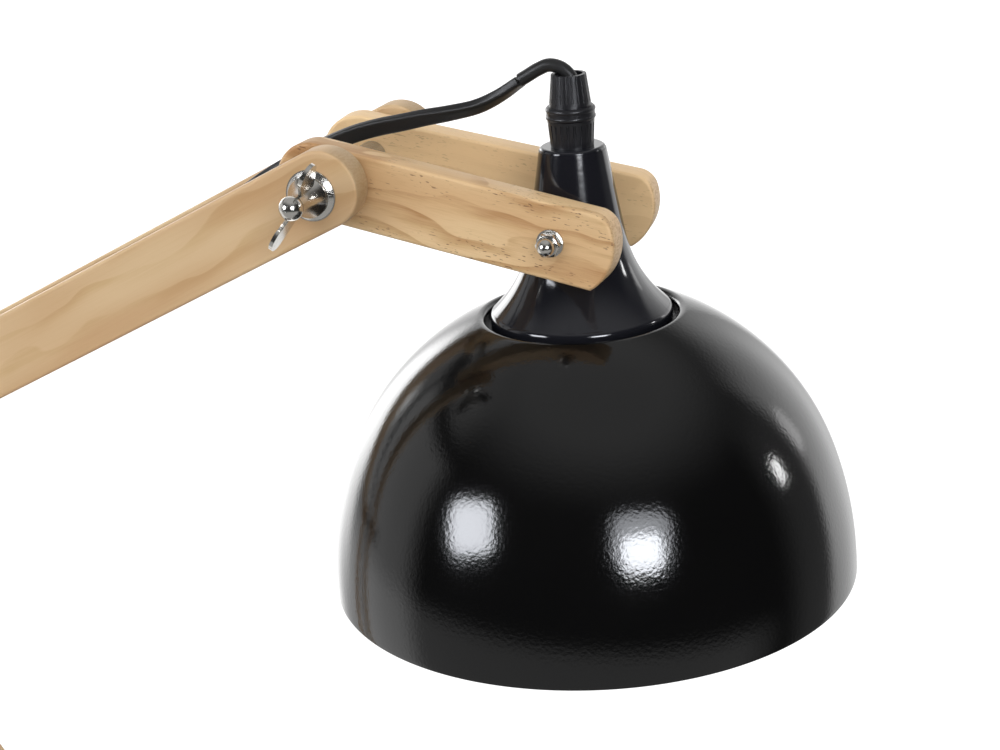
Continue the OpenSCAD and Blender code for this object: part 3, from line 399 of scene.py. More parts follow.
def filled_face(points, rings, holes, outward):
    """Triangles of one face between its rings, which are indices into the points: the outline, then the
    bores. The filling covers the bores too, so triangles whose middle lies in one are dropped. The rest
    face outward."""
    index = np.concatenate(rings)
    starts = np.cumsum([0] + [len(ring) for ring in rings])
    orders = [np.arange(start, stop) for start, stop in zip(starts[:-1], starts[1:])]
    edges = np.vstack([np.stack([order, np.roll(order, -1)], -1) for order in orders])
    flat = points[index][:, [0, 2]]
    filling = delaunay_2d_cdt(flat.tolist(), edges.tolist(), [], fill_inside, merge_distance)
    found, triangles, origins = np.array(filling[0]), np.array(filling[2]), np.array(filling[3])[:, 0]
    middles = found[triangles].mean(axis=1)
    solid = np.ones(len(triangles), bool)
    for centre, radius in holes:
        solid &= np.linalg.norm(middles - np.asarray(centre), axis=1) > radius
    triangles = index[origins[triangles[solid]]]
    corners = points[triangles]
    facing = np.cross(corners[:, 1] - corners[:, 0], corners[:, 2] - corners[:, 0])[:, 1]
    return np.where((facing * outward > 0)[:, None], triangles, triangles[:, ::-1]).tolist()


def eased_slab(name, loop, depths, place, holes):
    """A board between two depths, with eased edges and bores. A hole is its centre at the first depth, its
    centre at the second, and its radius. place maps (along, depth, up) to the frame."""
    rings = edge_rings(loop, depths)
    bores = [bore_ring(hole[end], hole[2], depths[end]) for hole in holes for end in (0, 1)]
    points = np.vstack([*rings, *bores])
    outline = np.arange(len(loop))
    first_bore = len(rings) * len(loop)
    last_ring = first_bore - len(loop)
    faces = grid_faces(len(rings), len(loop))[:, ::-1].tolist()
    for bore in range(len(holes)):
        faces += (grid_faces(2, bore_points) + first_bore + 2 * bore * bore_points).tolist()
    flat_from = len(faces)
    for end, outward, ring_start in ((0, -1, 0), (1, 1, last_ring)):
        bore_starts = [first_bore + (2 * bore + end) * bore_points for bore in range(len(holes))]
        bore_rings = [start + np.arange(bore_points) for start in bore_starts]
        round_holes = [(hole[end], hole[2]) for hole in holes]
        faces += filled_face(points, [ring_start + outline, *bore_rings], round_holes, outward)
    return piece_of(name, place(points), faces, flat_from)


# %% Lengths and slopes of the bars
def bar_between(bar, next_bar):
    """Length and rise of a bar from its two pivots, to a tenth of a millimetre and of a degree."""
    way = pivots[next_bar] - pivots[bar]
    return round(float(np.linalg.norm(way)), 1), math.radians(round(angle_of(way[[0, 2]]), 1))


bar_length, rise = {}, {}
for bar, next_bar in (("lower", "upper"), ("upper", "yoke"), ("yoke", "head")):
    bar_length[bar], rise[bar] = bar_between(bar, next_bar)
    print(bar, "bar:", bar_length[bar], "mm at", round(math.degrees(rise[bar]), 1), "degrees")

# %% Bar outlines
bar_t, arm_w, yoke_w = 10.0, 25.8, 25.0
arm_past, yoke_past = 3.5, 5.4                      # from a bolt to the middle of the round end
nose_past, nose_up, nose_r, nose_fillet = 3.8, 0.5, 17.6, 7.3
end_points, nose_points, fillet_points, edge_spacing = 41, 30, 14, 6.0


def arm_loop(length):
    """A stadium: two half circles joined by straight edges."""
    far = arc((length + arm_past, 0), arm_w / 2, -90, 90, end_points)
    near = arc((-arm_past, 0), arm_w / 2, 90, 270, end_points)
    return filled_in(np.vstack([far, near]), edge_spacing)


def yoke_loop(length):
    """A half circle at the elbow, and at the neck a shallow arc of which only the upper corner is round."""
    nose = np.array([length + nose_past, nose_up])
    corner_up = yoke_w / 2 - nose_fillet
    corner_on = math.sqrt((nose_r - nose_fillet)**2 - (corner_up - nose_up)**2)
    corner = np.array([nose[0] + corner_on, corner_up])
    low = math.degrees(math.asin((-yoke_w / 2 - nose_up) / nose_r))
    high = angle_of(corner - nose)
    front = arc(nose, nose_r, low, high, nose_points)
    fillet = arc(corner, nose_fillet, high, 90, fillet_points)[1:]
    near = arc((-yoke_past, 0), yoke_w / 2, 90, 270, end_points)
    return filled_in(np.vstack([front, fillet, near]), edge_spacing)


def on_bar(bar, splay=0.0, from_depth=0.0):
    """Maps (along, depth, up) of a bar to the frame: a turn by the splay, then the bar's rise."""
    def place(points):
        x, y, up = points.T
        along = x * math.cos(splay) - y * math.sin(splay)
        depth = x * math.sin(splay) + y * math.cos(splay) + from_depth
        level = along * math.cos(rise[bar]) - up * math.sin(rise[bar])
        height = along * math.sin(rise[bar]) + up * math.cos(rise[bar])
        return pivots[bar] + np.stack([level, depth, height], -1)
    return place


# %% Bars
bolt_bore, stud_bore = 3.06, 2.06
inner_face = {"lower": 15.0, "upper": 28.2, "yoke": 15.0}       # from the lamp's middle plane
bar_body = {"lower": "lower_arm", "upper": "upper_arm", "yoke": "yoke"}
yoke_spread = 4.0                                               # by the neck, on each side
yoke_splay = math.atan(yoke_spread / bar_length["yoke"])
long_yoke = bar_length["yoke"] / math.cos(yoke_splay)

bars = {}
for bar in ("lower", "upper"):
    bolts = [((x, 0.0), (x, 0.0), bolt_bore) for x in (0.0, bar_length[bar])]
    for end, depth in (("front", -inner_face[bar] - bar_t), ("rear", inner_face[bar])):
        name = bar + "_bar_" + end
        depths = (depth, depth + bar_t)
        slab = eased_slab("eased_" + name, arm_loop(bar_length[bar]), depths, on_bar(bar), bolts)
        bars[name] = slab, bar
for end, side in (("front", -1), ("rear", 1)):
    name = "yoke_bar_" + end
    depths = (0.0, bar_t) if side > 0 else (-bar_t, 0.0)
    bolts = []
    for x, bore in ((0.0, bolt_bore), (bar_length["yoke"], stud_bore)):
        # where a line across the lamp at this distance meets each face of the splayed bar
        met = [x / math.cos(yoke_splay) + depth * (math.tan(yoke_splay) * side) for depth in depths]
        bolts.append(((met[0], 0.0), (met[1], 0.0), bore))
    place = on_bar("yoke", side * yoke_splay, side * inner_face["yoke"])
    bars[name] = eased_slab("eased_" + name, yoke_loop(long_yoke), depths, place, bolts), "yoke"
for name, (piece, bar) in bars.items():
    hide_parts(name)
    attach(piece, bar_body[bar])
    print(piece.name, len(piece.data.polygons), "faces")

# %% [markdown]
# ## Shade
# Gloss shows every facet, so the shade's sheet is turned again from its profile with finer steps. The
# profile is one closed loop of arcs in the plane of the axis: up the side wall and the crown, round the
# rolled lip, down to the sunk floor, and back inside the sheet to the bead in the rim. Turning it about
# the axis gives a grid that closes on itself both ways, with no pole.

# %% Shade profile
shade_r, rim_depth, side_r, side_turn = 90.0, 125.2, 128.6, 18.0
sheet, bead_r, edge_r = 1.2, 1.6, 0.35
opening_r, roll_r, roll_depth, floor_depth, hole_r = 32.2, 2.0, 33.9, 38.0, 19.8


def unit(degrees):
    """The direction at an angle in the profile's plane."""
    return np.array([math.cos(math.radians(degrees)), math.sin(math.radians(degrees))])


side_c = np.array([shade_r - side_r, -rim_depth])
bead_c = np.array([shade_r - bead_r, bead_r - rim_depth])
edge_c = np.array([shade_r - edge_r, edge_r - rim_depth])
roll_c = np.array([opening_r + roll_r, -roll_depth])
side_out = unit(side_turn)
join = side_c + side_r * side_out
# the crown touches the side wall at the join and the lip from outside
to_join = join - roll_c
crown_r = (to_join @ to_join - roll_r**2) / (2 * (to_join @ side_out - roll_r))
crown_c = join - crown_r * side_out
crown_turn = angle_of(roll_c - crown_c)
reach, inner_r = crown_r - roll_r, crown_r - sheet
print("crown's radius", round(crown_r, 1), "mm")

# %% Turned shade
shade_columns, sharp_degrees = 256, 40

edge_turn = math.degrees(math.asin(edge_r / side_r))
lip_out = crown_turn - math.degrees(math.acos((inner_r**2 - reach**2 - roll_r**2) / (2 * reach * roll_r)))
lip_under = -math.degrees(math.acos((sheet - roll_r) / roll_r))
inner_turn = angle_of(roll_c + roll_r * unit(lip_out) - crown_c)
bead_in = math.degrees(math.acos((bead_r - sheet) / bead_r))
bead_top = math.degrees(math.asin(bead_r * (1 + math.sin(math.radians(bead_in))) / (side_r - sheet)))
profile = np.vstack([
    arc(side_c, side_r, edge_turn, side_turn, count=26),
    arc(crown_c, crown_r, side_turn, crown_turn, count=64)[1:],
    arc(roll_c, roll_r, crown_turn, 180, count=12)[1:],
    [[opening_r, -floor_depth], [hole_r, -floor_depth]],
    [[hole_r, -floor_depth - sheet], [opening_r + sheet, -floor_depth - sheet]],
    arc(roll_c, roll_r, lip_under, lip_out, count=12),
    arc(crown_c, inner_r, inner_turn, side_turn, count=48)[1:],
    arc(side_c, side_r - sheet, side_turn, bead_top, count=18)[1:],
    arc(bead_c, bead_r, bead_in, 270, count=18)[1:],
    arc(edge_c, edge_r, 270, 360, count=6)[:-1]])
spin = np.linspace(0, 2 * np.pi, shade_columns, endpoint=False)[None, :, None]
outward = np.cos(spin) * head_x + np.sin(spin) * ACROSS
shade_points = pivots["head"] + profile[:, None, :1] * outward + profile[:, None, 1:] * head_z
shade_faces = grid_faces(len(profile), shade_columns, wrap_rows=True).tolist()
turned_shade = piece_of("turned_shade", shade_points, shade_faces)
turned_shade.data.set_sharp_from_angle(angle=math.radians(sharp_degrees))
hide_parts("shade")
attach(turned_shade, "head")
print("shade", len(profile), "rings of", shade_columns, "points")

# %% [markdown]
# ## Finishes
# A finish is a small tree of nodes. Patterns read Object coordinates, which stay with a piece when it
# moves. A helper adds one node at a time, so that each finish below reads as a short list of what it is
# made of.

# %% Node helpers
def new_finish(name):
    """An empty material with its surface shader: returns the material, its tree and the shader."""
    material = bpy.data.materials.new(name)
    material.use_nodes = True
    return material, material.node_tree, material.node_tree.nodes["Principled BSDF"]


def add(tree, kind, inputs=None, **settings):
    """One node. Settings are the node's own choices; inputs are values, or outputs of other nodes."""
    node = tree.nodes.new("ShaderNode" + kind)
    for key, value in settings.items():
        setattr(node, key, value)
    for key, value in (inputs or {}).items():
        if isinstance(value, bpy.types.NodeSocket):
            tree.links.new(value, node.inputs[key])
        else:
            node.inputs[key].default_value = value
    return node


def noise(tree, vector, scale, detail=3.0, rough=0.5):
    """A cloud pattern between 0 and 1."""
    inputs = {"Vector": vector, "Scale": scale, "Detail": detail, "Roughness": rough}
    return add(tree, "TexNoise", inputs).outputs["Fac"]


def stretched(tree, vector, factors):
    """Coordinates multiplied along each axis, to draw a pattern out or squeeze it."""
    return add(tree, "VectorMath", {0: vector, 1: factors}, operation="MULTIPLY").outputs[0]


def dotted(tree, vector, other):
    """The dot product of two vectors."""
    return add(tree, "VectorMath", {0: vector, 1: other}, operation="DOT_PRODUCT").outputs["Value"]


def sums(tree, operation, a, b=0.0, clamp=False):
    """One step of arithmetic on numbers."""
    return add(tree, "Math", {0: a, 1: b}, operation=operation, use_clamp=clamp).outputs[0]


def between(tree, value, low, high, new_low=0.0, new_high=1.0):
    """The value carried smoothly from one range to another, and held at its ends."""
    inputs = {"Value": value, "From Min": low, "From Max": high, "To Min": new_low, "To Max": new_high}
    return add(tree, "MapRange", inputs, interpolation_type="SMOOTHSTEP").outputs[0]


def mixed(tree, factor, first, second, mode="MIX"):
    """Two colours mixed by a factor."""
    return add(tree, "Mix", {0: factor, 6: first, 7: second}, data_type="RGBA", blend_type=mode).outputs[2]


def bump(tree, shader, height, distance, strength=1.0):
    """Small relief: the height pattern times a distance in metres."""
    node = add(tree, "Bump", {"Height": height, "Distance": distance, "Strength": strength})
    tree.links.new(node.outputs[0], shader.inputs["Normal"])


def colour(tint, factor=1.0):
    """An opaque colour: the tint times a factor, at most 1."""
    return (*[min(1.0, part * factor) for part in tint], 1.0)


def object_mm(tree):
    """Object coordinates in millimetres."""
    return stretched(tree, add(tree, "TexCoord").outputs["Object"], (1 / MM, 1 / MM, 1 / MM))


# %% [markdown]
# ## Pine
# Planed pine shows broad soft bands of early and late wood, fine fibres along the board, and in the yoke
# many short dark flecks where fine ducts were cut. All of it runs along the board, so the coordinates are
# first turned into the board's own frame and then drawn out along it. Where the surface faces along the
# board, the cut ends of the fibres show instead, with short strokes across: darker, partly in the end
# grain's own tone and partly as painted shade. The yoke's rear board is painted paler and plainer, as
# painted light, since the front board shades it. The post on the base is beech, which gets the same
# pattern in its own colours.

# %% Wood patterns
band_up, band_deep = 0.9, 0.42          # how the bands lean across the board
end_share = 0.75


def board_frame(tree, bar):
    """Object coordinates in the board's own frame, in millimetres: along, deep and up from its pivot."""
    inputs = {"Vector": add(tree, "TexCoord").outputs["Object"], "Location": tuple(pivots[bar] * MM),
              "Rotation": (0, -rise[bar], 0), "Scale": (MM, MM, MM)}
    return add(tree, "Mapping", inputs, vector_type="TEXTURE").outputs[0]


def grain(tree, board, per_mm, detail, rough=0.5):
    """A cloud pattern drawn out along the board. per_mm counts the clouds in a millimetre, axis by axis."""
    return noise(tree, stretched(tree, board, per_mm), 1.0, detail, rough)


def growth_bands(tree, board, band_mm, wander_mm):
    """Late wood: the distance across the board, which wanders slowly along it, is cut into bands. In each
    band the tone rises slowly and drops at once."""
    wander = grain(tree, board, (0.016, 0.05, 0.05), detail=2.0)
    axes = add(tree, "SeparateXYZ", {0: board}).outputs
    level = sums(tree, "ADD", sums(tree, "MULTIPLY", axes["Z"], band_up),
                 sums(tree, "MULTIPLY", axes["Y"], band_deep))
    level = sums(tree, "ADD", level, sums(tree, "MULTIPLY", wander, wander_mm))
    phase = sums(tree, "FRACT", sums(tree, "DIVIDE", level, band_mm))
    return sums(tree, "MULTIPLY", between(tree, phase, 0.35, 0.93), between(tree, phase, 1.0, 0.94))


def fleck_marks(tree, board):
    """Short dashes along the board, gathered in some places."""
    dash = grain(tree, board, (0.42, 2.1, 2.1), detail=1.0, rough=0.4)
    crowd = grain(tree, board, (0.03, 0.10, 0.10), detail=2.0)
    return sums(tree, "MULTIPLY", between(tree, dash, 0.645, 0.70), between(tree, crowd, 0.45, 0.60))


def end_grain(tree, board, bar, light, dark):
    """How much of the cut fibres shows, by how squarely the surface faces along the board, and their
    colour."""
    along = (math.cos(rise[bar]), 0, math.sin(rise[bar]))
    facing = sums(tree, "ABSOLUTE", dotted(tree, add(tree, "TexCoord").outputs["Normal"], along))
    pores = grain(tree, board, (0.3, 0.5, 1.6), detail=3.0, rough=0.6)
    cut = mixed(tree, between(tree, pores, 0.35, 0.7), light, dark)
    return sums(tree, "MULTIPLY", between(tree, facing, 0.45, 0.8), end_share), cut


# %% Wood finish
board_shift = np.array([37.0, 11.0, 23.0])      # each finish reads another place in the pattern
blush_tint, fleck_tint = (0.62, 0.36, 0.16), (0.15, 0.065, 0.025)
# how much paler the rear board is painted, as painted light, and how many of its flecks show
rear_painted_tone, rear_flecks = 1.22, 0.35
fibre_depth, fibre_gloss, least_rough, wood_ior = 0.00012, 0.16, 0.40, 1.48


def wood(name, bar, light, dark, flecks, band_mm, wander_mm, seed, bands=0.8, end_tone_and_shade=0.95, rear_painted_light=0.0):
    """Wood along one pair of bars: bands, fibres, flecks, and end grain where it faces along the bar."""
    material, tree, shader = new_finish(name)
    place = board_frame(tree, bar)
    shift = tuple(seed * board_shift)
    board = add(tree, "VectorMath", {0: place, 1: shift}, operation="ADD").outputs[0]
    # bands, stronger in some places, and fibres
    late = growth_bands(tree, board, band_mm, wander_mm)
    patch = grain(tree, board, (0.02, 0.08, 0.10), detail=3.0, rough=0.55)
    fibre = grain(tree, board, (0.05, 2.4, 2.4), detail=4.0, rough=0.6)
    tone = sums(tree, "MULTIPLY", late, between(tree, patch, 0.36, 0.62, 0.25, 1.0))
    fibre_tone = sums(tree, "MULTIPLY", sums(tree, "SUBTRACT", fibre, 0.5), 0.9)
    tone = sums(tree, "ADD", tone, fibre_tone, clamp=True)
    tint = mixed(tree, sums(tree, "MULTIPLY", tone, bands), colour(light), colour(dark))
    blush = grain(tree, board, (0.011, 0.05, 0.05), detail=1.0)
    tint = mixed(tree, between(tree, blush, 0.4, 0.68, 0.0, 0.35), tint, colour(blush_tint), "MULTIPLY")
    # the board at the rear is painted paler and plainer: painted light, since the front board shades it
    rear = between(tree, add(tree, "SeparateXYZ", {0: place}).outputs["Y"], -1.0, 1.0)
    tint = mixed(tree, sums(tree, "MULTIPLY", rear, rear_painted_light), tint, colour(light, rear_painted_tone))
    shown = between(tree, rear, 0.0, 1.0, flecks, flecks * rear_flecks)
    fleck = sums(tree, "MULTIPLY", fleck_marks(tree, board), shown)
    tint = mixed(tree, fleck, tint, colour(fleck_tint))
    # the cut ends are darker, partly in their own tone and partly as painted shade
    end, cut = end_grain(tree, board, bar, colour(light, end_tone_and_shade), colour(dark, end_tone_and_shade))
    tree.links.new(mixed(tree, end, tint, cut), shader.inputs["Base Color"])
    rough = sums(tree, "ADD", sums(tree, "MULTIPLY", fibre, fibre_gloss), least_rough)
    tree.links.new(rough, shader.inputs["Roughness"])
    shader.inputs["IOR"].default_value = wood_ior
    height = sums(tree, "SUBTRACT", fibre, sums(tree, "MULTIPLY", fleck, 0.6))
    bump(tree, shader, height, fibre_depth, strength=0.55)
    return material


# %% Pine on the bars
# the darker tone of each bar's cut ends is partly the end grain's own and partly painted shade
woods = {
    "pine_lower": dict(bar="lower", light=(0.66, 0.47, 0.27), dark=(0.53, 0.33, 0.15), flecks=0.15,
                       band_mm=8.0, wander_mm=26.0, seed=3.0, end_tone_and_shade=0.82),
    "pine_upper": dict(bar="upper", light=(0.625, 0.445, 0.255), dark=(0.53, 0.35, 0.17), flecks=0.0,
                       band_mm=9.0, wander_mm=22.0, seed=1.0, end_tone_and_shade=0.70),
    # the yoke's rear board is painted paler, as painted light for the shade of the front board
    "pine_yoke": dict(bar="yoke", light=(0.70, 0.495, 0.272), dark=(0.445, 0.25, 0.10), flecks=0.9,
                      band_mm=8.5, wander_mm=42.0, seed=2.0, bands=0.95, rear_painted_light=0.75),
    "beech": dict(bar="lower", light=(0.62, 0.43, 0.25), dark=(0.50, 0.32, 0.17), flecks=0.3,
                  band_mm=9.0, wander_mm=18.0, seed=5.0)}
finishes = {name: wood(name, **look) for name, look in woods.items()}


def dress(piece, slot, finish=None):
    """Gives a piece the finish of its slot, or one of its own."""
    piece.data.materials.clear()
    piece.data.materials.append(finishes[finish or slot])


for piece, bar in bars.values():
    dress(piece, "pine_" + bar)
print("pine on", len(bars), "bars")

# %% [markdown]
# ## Lacquer and plastic
# The shade is sprayed steel: deep black, glossy, with a faint orange peel that ripples every reflection.
# The base has the same lacquer left matt. The neck is a polished moulding, and the grip, the cord, the
# switch and the plug are duller plastics. All are one black surface with its own gloss and its own ripple.

# %% Black finishes
cloud_per_mm, paler, gloss_varies = 0.03, 1.5, (0.9, 1.12)
grit_per_mm = 6.0


def black(name, tint, rough, ripple_mm, ripple, grit=0.0, ior=1.5):
    """A black surface whose gloss varies a little, with a ripple and, where grit is given, a fine grain."""
    material, tree, shader = new_finish(name)
    place = object_mm(tree)
    cloud = noise(tree, place, cloud_per_mm)
    tree.links.new(mixed(tree, cloud, colour(tint), colour(tint, paler)), shader.inputs["Base Color"])
    gloss = between(tree, cloud, 0.3, 0.7, rough * gloss_varies[0], rough * gloss_varies[1])
    tree.links.new(gloss, shader.inputs["Roughness"])
    shader.inputs["IOR"].default_value = ior
    peel = noise(tree, place, 1.0 / ripple_mm, detail=2.0)
    if grit:
        fine = noise(tree, place, grit_per_mm, detail=2.0)
        peel = sums(tree, "ADD", peel, sums(tree, "MULTIPLY", fine, grit))
    bump(tree, shader, peel, ripple)
    return material


blacks = {
    "black_lacquer": dict(tint=(0.0022, 0.0022, 0.0023), rough=0.10, ripple_mm=1.15, ripple=0.00004),
    "base_lacquer": dict(tint=(0.0040, 0.0040, 0.0042), rough=0.48, ripple_mm=0.9, ripple=0.00005, grit=0.3,
                         ior=1.4),
    "black_gloss": dict(tint=(0.0075, 0.0078, 0.0105), rough=0.10, ripple_mm=2.4, ripple=0.00002),
    "holder_black": dict(tint=(0.006, 0.005, 0.005), rough=0.22, ripple_mm=3.0, ripple=0.00003),
    "black_grip": dict(tint=(0.0075, 0.0075, 0.0095), rough=0.38, ripple_mm=1.2, ripple=0.00004, grit=0.3,
                       ior=1.42),
    "cord_black": dict(tint=(0.012, 0.012, 0.0125), rough=0.42, ripple_mm=1.5, ripple=0.00003, grit=0.2,
                       ior=1.38),
    "tie_black": dict(tint=(0.012, 0.012, 0.012), rough=0.45, ripple_mm=0.8, ripple=0.00005, grit=0.4),
    "black_plastic": dict(tint=(0.009, 0.009, 0.010), rough=0.38, ripple_mm=1.0, ripple=0.00004, grit=0.4)}
finishes.update({name: black(name, **look) for name, look in blacks.items()})
print(len(blacks), "black finishes")

# %% [markdown]
# ## Metal
# The pivots carry bright plated hardware. Plain steel, brass and iron serve where they are less seen. Bare
# metal takes its colour from what it mirrors, so the finish only tints it and scratches its gloss.

# %% Metal finishes
tone_per_mm, duller = 0.25, 0.86
scratch_per_mm, scratch_depth = (0.6, 6.0, 6.0), 0.000006


def metal(name, tint, rough, scratch):
    """Bare metal: fine scratches in the gloss, and a slow change of tone."""
    material, tree, shader = new_finish(name)
    place = object_mm(tree)
    cloud = noise(tree, place, tone_per_mm)
    tree.links.new(mixed(tree, cloud, colour(tint), colour(tint, duller)), shader.inputs["Base Color"])
    line = noise(tree, stretched(tree, place, scratch_per_mm), 1.0)
    tree.links.new(between(tree, line, 0.3, 0.75, rough, rough + scratch), shader.inputs["Roughness"])
    shader.inputs["Metallic"].default_value = 1.0
    bump(tree, shader, line, scratch_depth)
    return material


metals = {
    "chrome": dict(tint=(0.64, 0.62, 0.58), rough=0.15, scratch=0.12),
    "steel": dict(tint=(0.50, 0.50, 0.50), rough=0.24, scratch=0.14),
    "brass": dict(tint=(0.72, 0.52, 0.23), rough=0.20, scratch=0.12),
    "iron": dict(tint=(0.09, 0.09, 0.09), rough=0.55, scratch=0.2)}
finishes.update({name: metal(name, **look) for name, look in metals.items()})
print(len(metals), "metal finishes")

# %% [markdown]
# ## The rest
# A felt pad under the base, fibre washers between the bars, a porcelain core in the lampholder and an opal
# bulb are left. Each is two close tones in a fine speckle, with its own roughness and relief.

# %% Other finishes
def plain(name, tint, other, rough, speck_mm, relief, sheen=0.0):
    """A matt or glazed surface with two close tones and a fine relief."""
    material, tree, shader = new_finish(name)
    speck = noise(tree, object_mm(tree), 1.0 / speck_mm, detail=4.0, rough=0.6)
    tone = mixed(tree, between(tree, speck, 0.35, 0.65), colour(tint), colour(other))
    tree.links.new(tone, shader.inputs["Base Color"])
    shader.inputs["Roughness"].default_value = rough
    shader.inputs["Sheen Weight"].default_value = sheen
    bump(tree, shader, speck, relief)
    return material


plains = {
    "felt": dict(tint=(0.030, 0.030, 0.032), other=(0.055, 0.055, 0.06), rough=0.95, speck_mm=0.5,
                 relief=0.0002, sheen=0.4),
    "fibre": dict(tint=(0.20, 0.10, 0.05), other=(0.27, 0.14, 0.07), rough=0.7, speck_mm=0.6,
                  relief=0.00005),
    "porcelain": dict(tint=(0.78, 0.76, 0.70), other=(0.74, 0.72, 0.66), rough=0.18, speck_mm=6.0,
                      relief=0.00001),
    "opal_glass": dict(tint=(0.90, 0.90, 0.87), other=(0.86, 0.86, 0.83), rough=0.12, speck_mm=20.0,
                       relief=0.000005)}
finishes.update({name: plain(name, **look) for name, look in plains.items()})
print(len(finishes), "finishes")

# %% Dress the rest of the lamp
own_finish = {"base_cover": "base_lacquer", "holder_cap": "holder_black", "holder_body": "holder_black",
              "shade_ring": "holder_black"}
for row in frame["record"]["subparts"]:
    node = nodes[row["node"]]
    if not node.hide_render:
        dress(node, row["material_slot"], own_finish.get(row["node"]))
for piece in cord_pieces:
    dress(piece, "cord_black")
dress(turned_shade, "black_lacquer")
print(len(cord_pieces), "lengths of cord dressed")

# %% [markdown]
# ## Studio
# The photograph's reflections tell what stood around the lamp: two softboxes in front, a small light at
# the right, a tall bright strip at the left behind, a grey wall, a pale ceiling, a dark room at the right
# and a backdrop. All of it is painted into the world by azimuth (0 is in front, positive to the right) and
# elevation, so that each highlight gets its own soft edge. Lamps would show as hard rectangles in the
# lacquer. Only mirrored rays see this picture. Matt surfaces see an even light from all round, a wide soft
# light overhead and a share of the softboxes, and the camera sees white.

# %% Directions in the world
world = bpy.data.worlds.new("studio")
bpy.context.scene.world = world
world.use_nodes = True
studio = world.node_tree
ray = add(studio, "TexCoord").outputs["Generated"]
part = add(studio, "SeparateXYZ", {0: ray}).outputs
forward = sums(studio, "MULTIPLY", part["Y"], -1.0)
azimuth = sums(studio, "DEGREES", sums(studio, "ARCTAN2", part["X"], forward))
elevation = sums(studio, "DEGREES", sums(studio, "ARCSINE", part["Z"]))


def toward(place_azimuth, place_elevation):
    """Unit vectors at a place in the studio: from the lamp to it, to its right, and up along it."""
    turn, rise_up = math.radians(place_azimuth), math.radians(place_elevation)
    ahead = np.array([math.sin(turn), -math.cos(turn), 0])
    right = np.array([math.cos(turn), math.sin(turn), 0])
    above = np.array([0, 0, 1])
    middle = ahead * math.cos(rise_up) + above * math.sin(rise_up)
    up = above * math.cos(rise_up) - ahead * math.sin(rise_up)
    return middle, right, up


def patch_of_light(place, half_sizes, turn, strength, soft=(2.2, 0.25)):
    """A soft-edged rectangle in the world, in degrees: the fourth powers of the two distances from its
    middle are added, and the sum is eased from dark to bright between the two values of soft."""
    middle, right, up = toward(*place)
    cosine, sine = math.cos(math.radians(turn)), math.sin(math.radians(turn))
    axes = right * cosine + up * sine, up * cosine - right * sine
    powers = []
    for axis, half in zip(axes, half_sizes):
        away = dotted(studio, ray, tuple(axis / math.sin(math.radians(half))))
        square = sums(studio, "MULTIPLY", away, away)
        powers.append(sums(studio, "MULTIPLY", square, square))
    shape = between(studio, sums(studio, "ADD", *powers), *soft)
    in_front = sums(studio, "GREATER_THAN", dotted(studio, ray, tuple(middle)), 0.0)
    return sums(studio, "MULTIPLY", sums(studio, "MULTIPLY", shape, in_front), strength)


def limited(value, *ranges):
    """The product of several eased ramps, each (reading, from, to), times a value."""
    for reading, start, stop in ranges:
        value = sums(studio, "MULTIPLY", between(studio, reading, start, stop), value)
    return value


# %% What the lacquer mirrors
dimmest = 0.02
left_box = patch_of_light((-42, 14.8), (10.8, 10.5), 22, 18.5, (1.7, 0.1))
right_box = patch_of_light((37.5, 21), (13, 11.6), -6, 7.0, (1.6, 0.05))
right_middle = patch_of_light((37, 15.7), (9.4, 7.8), 0, 22.0, (1.5, 0.02))
small_light = patch_of_light((117.5, 15.8), (2.3, 3.8), 0, 17.0)
second_spot = patch_of_light((140, 13), (3.5, 6), 0, 1.6)       # the small light seen once more, faintly
ceiling = limited(0.47, (elevation, 30, 68))
ceiling_left = limited(0.42, (azimuth, -60, -90), (elevation, 31, 38), (elevation, 62, 38))
wall = limited(0.36, (azimuth, -60, -76), (elevation, 31, 23))
wall_near = limited(0.38, (azimuth, -60, -76), (azimuth, -120, -108), (elevation, 31, 23))
strip = limited(4.4, (azimuth, -113, -122), (azimuth, -147, -135),
                (elevation, -31, 0), (elevation, 18, 10))
dark_room = limited(0.18, (azimuth, 98, 118), (elevation, 46, 26))
backdrop_right = limited(0.95, (azimuth, 130, 142), (azimuth, 200, 165), (elevation, 48, 24))
backdrop_low = limited(0.44, (azimuth, 132, 140), (azimuth, 180, 166),
                       (elevation, 30, 8), (elevation, -26, -6))
backdrop_left = limited(1.1, (azimuth, -120, -150), (azimuth, -200, -165), (elevation, 60, 20))
table = limited(0.45, (elevation, -12, -20), (azimuth, 105, 75), (azimuth, -180, -150))

mirrored = dimmest
for light in (left_box, right_box, right_middle, small_light, second_spot, ceiling, ceiling_left, wall,
              wall_near, strip, dark_room, backdrop_right, backdrop_low, backdrop_left, table):
    mirrored = sums(studio, "ADD", light, mirrored)
print(len(studio.nodes), "nodes for the mirrored studio")

# %% What matt surfaces and the camera see
even_light, more_from_above = 0.475, 0.06
left_share, right_share = 0.19, 0.62
room_white, cool_white = (1, 1, 1), (0.91, 0.94, 1.0)       # the softboxes are cooler than the room


def chosen(factor, at_one, at_zero):
    """One number where the factor is 1, and another where it is 0."""
    first = sums(studio, "MULTIPLY", factor, at_one)
    second = sums(studio, "MULTIPLY", sums(studio, "SUBTRACT", 1.0, factor), at_zero)
    return sums(studio, "ADD", first, second)


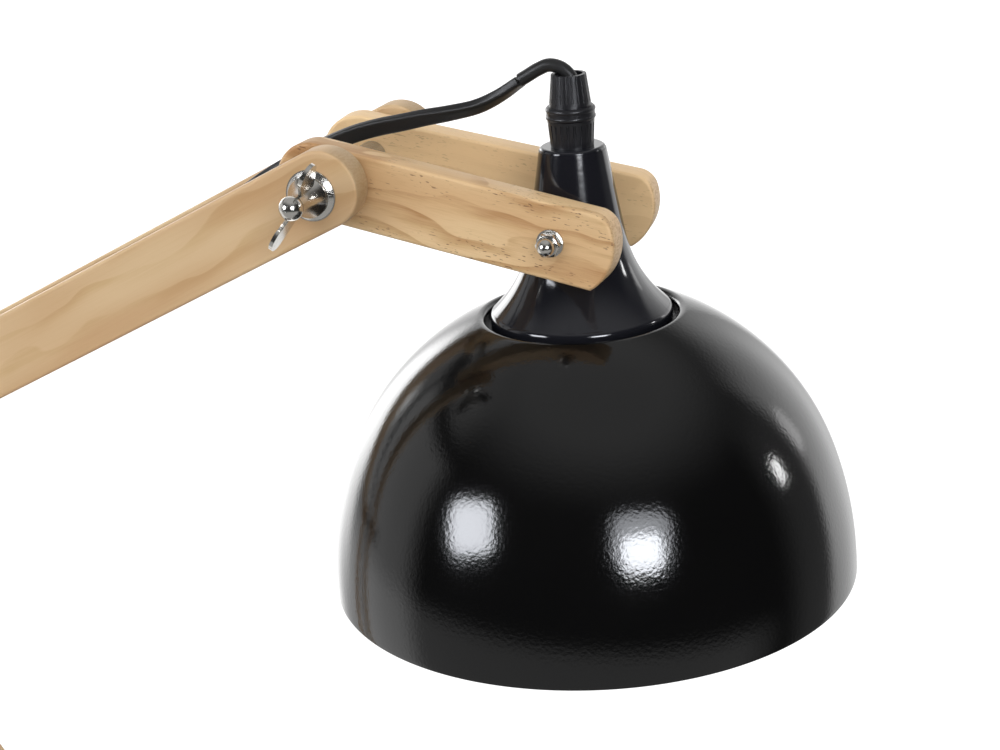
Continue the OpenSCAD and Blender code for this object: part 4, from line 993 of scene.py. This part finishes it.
overhead = patch_of_light((-5, 50), (40, 32), 0, 1.1, (2.0, 0.1))
ambient = sums(studio, "ADD", sums(studio, "MULTIPLY", part["Z"], more_from_above), even_light)
for light, share in ((overhead, 1.0), (left_box, left_share), (right_box, right_share)):
    ambient = sums(studio, "ADD", ambient, sums(studio, "MULTIPLY", light, share))
rays = add(studio, "LightPath").outputs
mirror_ray = sums(studio, "MAXIMUM", rays["Is Glossy Ray"], rays["Is Transmission Ray"])
seen = chosen(rays["Is Camera Ray"], 1.0, chosen(mirror_ray, mirrored, ambient))
in_softbox = sums(studio, "MULTIPLY", sums(studio, "ADD", left_box, right_box, clamp=True), mirror_ray)
background = studio.nodes["Background"].inputs
studio.links.new(seen, background["Strength"])
studio.links.new(mixed(studio, in_softbox, colour(room_white), colour(cool_white)), background["Color"])
print(len(studio.nodes), "nodes in the world")

# %% [markdown]
# ## Floor
# The floor only has to take the lamp's shadow. It glows for the camera, so that it is as pale as the white
# round it, and mirrored rays pass it by, because the table that the lacquer mirrors is painted into the
# world.

# %% Floor
floor_side, floor_front, floor_back = 3.0, -0.5, 5.0        # metres
floor_tone, floor_rough, floor_glow = 0.5, 0.9, 0.75
floor_corners = [(-floor_side, floor_front, 0), (floor_side, floor_front, 0),
                 (floor_side, floor_back, 0), (-floor_side, floor_back, 0)]
floor_mesh = bpy.data.meshes.new("floor")
floor_mesh.from_pydata(floor_corners, [], [(0, 1, 2, 3)])
floor = bpy.data.objects.new("floor", floor_mesh)
bpy.context.scene.collection.objects.link(floor)
floor.visible_glossy = False
floor_white, tree, shader = new_finish("floor_white")
shader.inputs["Base Color"].default_value = (floor_tone, floor_tone, floor_tone, 1)
shader.inputs["Roughness"].default_value = floor_rough
rays = add(tree, "LightPath").outputs
shown = sums(tree, "MAXIMUM", rays["Is Camera Ray"], rays["Is Transmission Ray"])
glow = add(tree, "Emission", {"Color": (1, 1, 1, 1), "Strength": sums(tree, "MULTIPLY", shown, floor_glow)})
both = add(tree, "AddShader", {0: shader.outputs[0], 1: glow.outputs[0]})
tree.links.new(both.outputs[0], tree.nodes["Material Output"].inputs["Surface"])
floor_mesh.materials.append(floor_white)
bpy.context.scene.view_settings.view_transform = "Standard"
print("floor", 2 * floor_side, "m wide")

# %% [markdown]
# ## Last step
# Dressing must not change the lamp's size. This last cell only brings the scene up to date.

# %% Update the scene
bpy.context.view_layer.update()
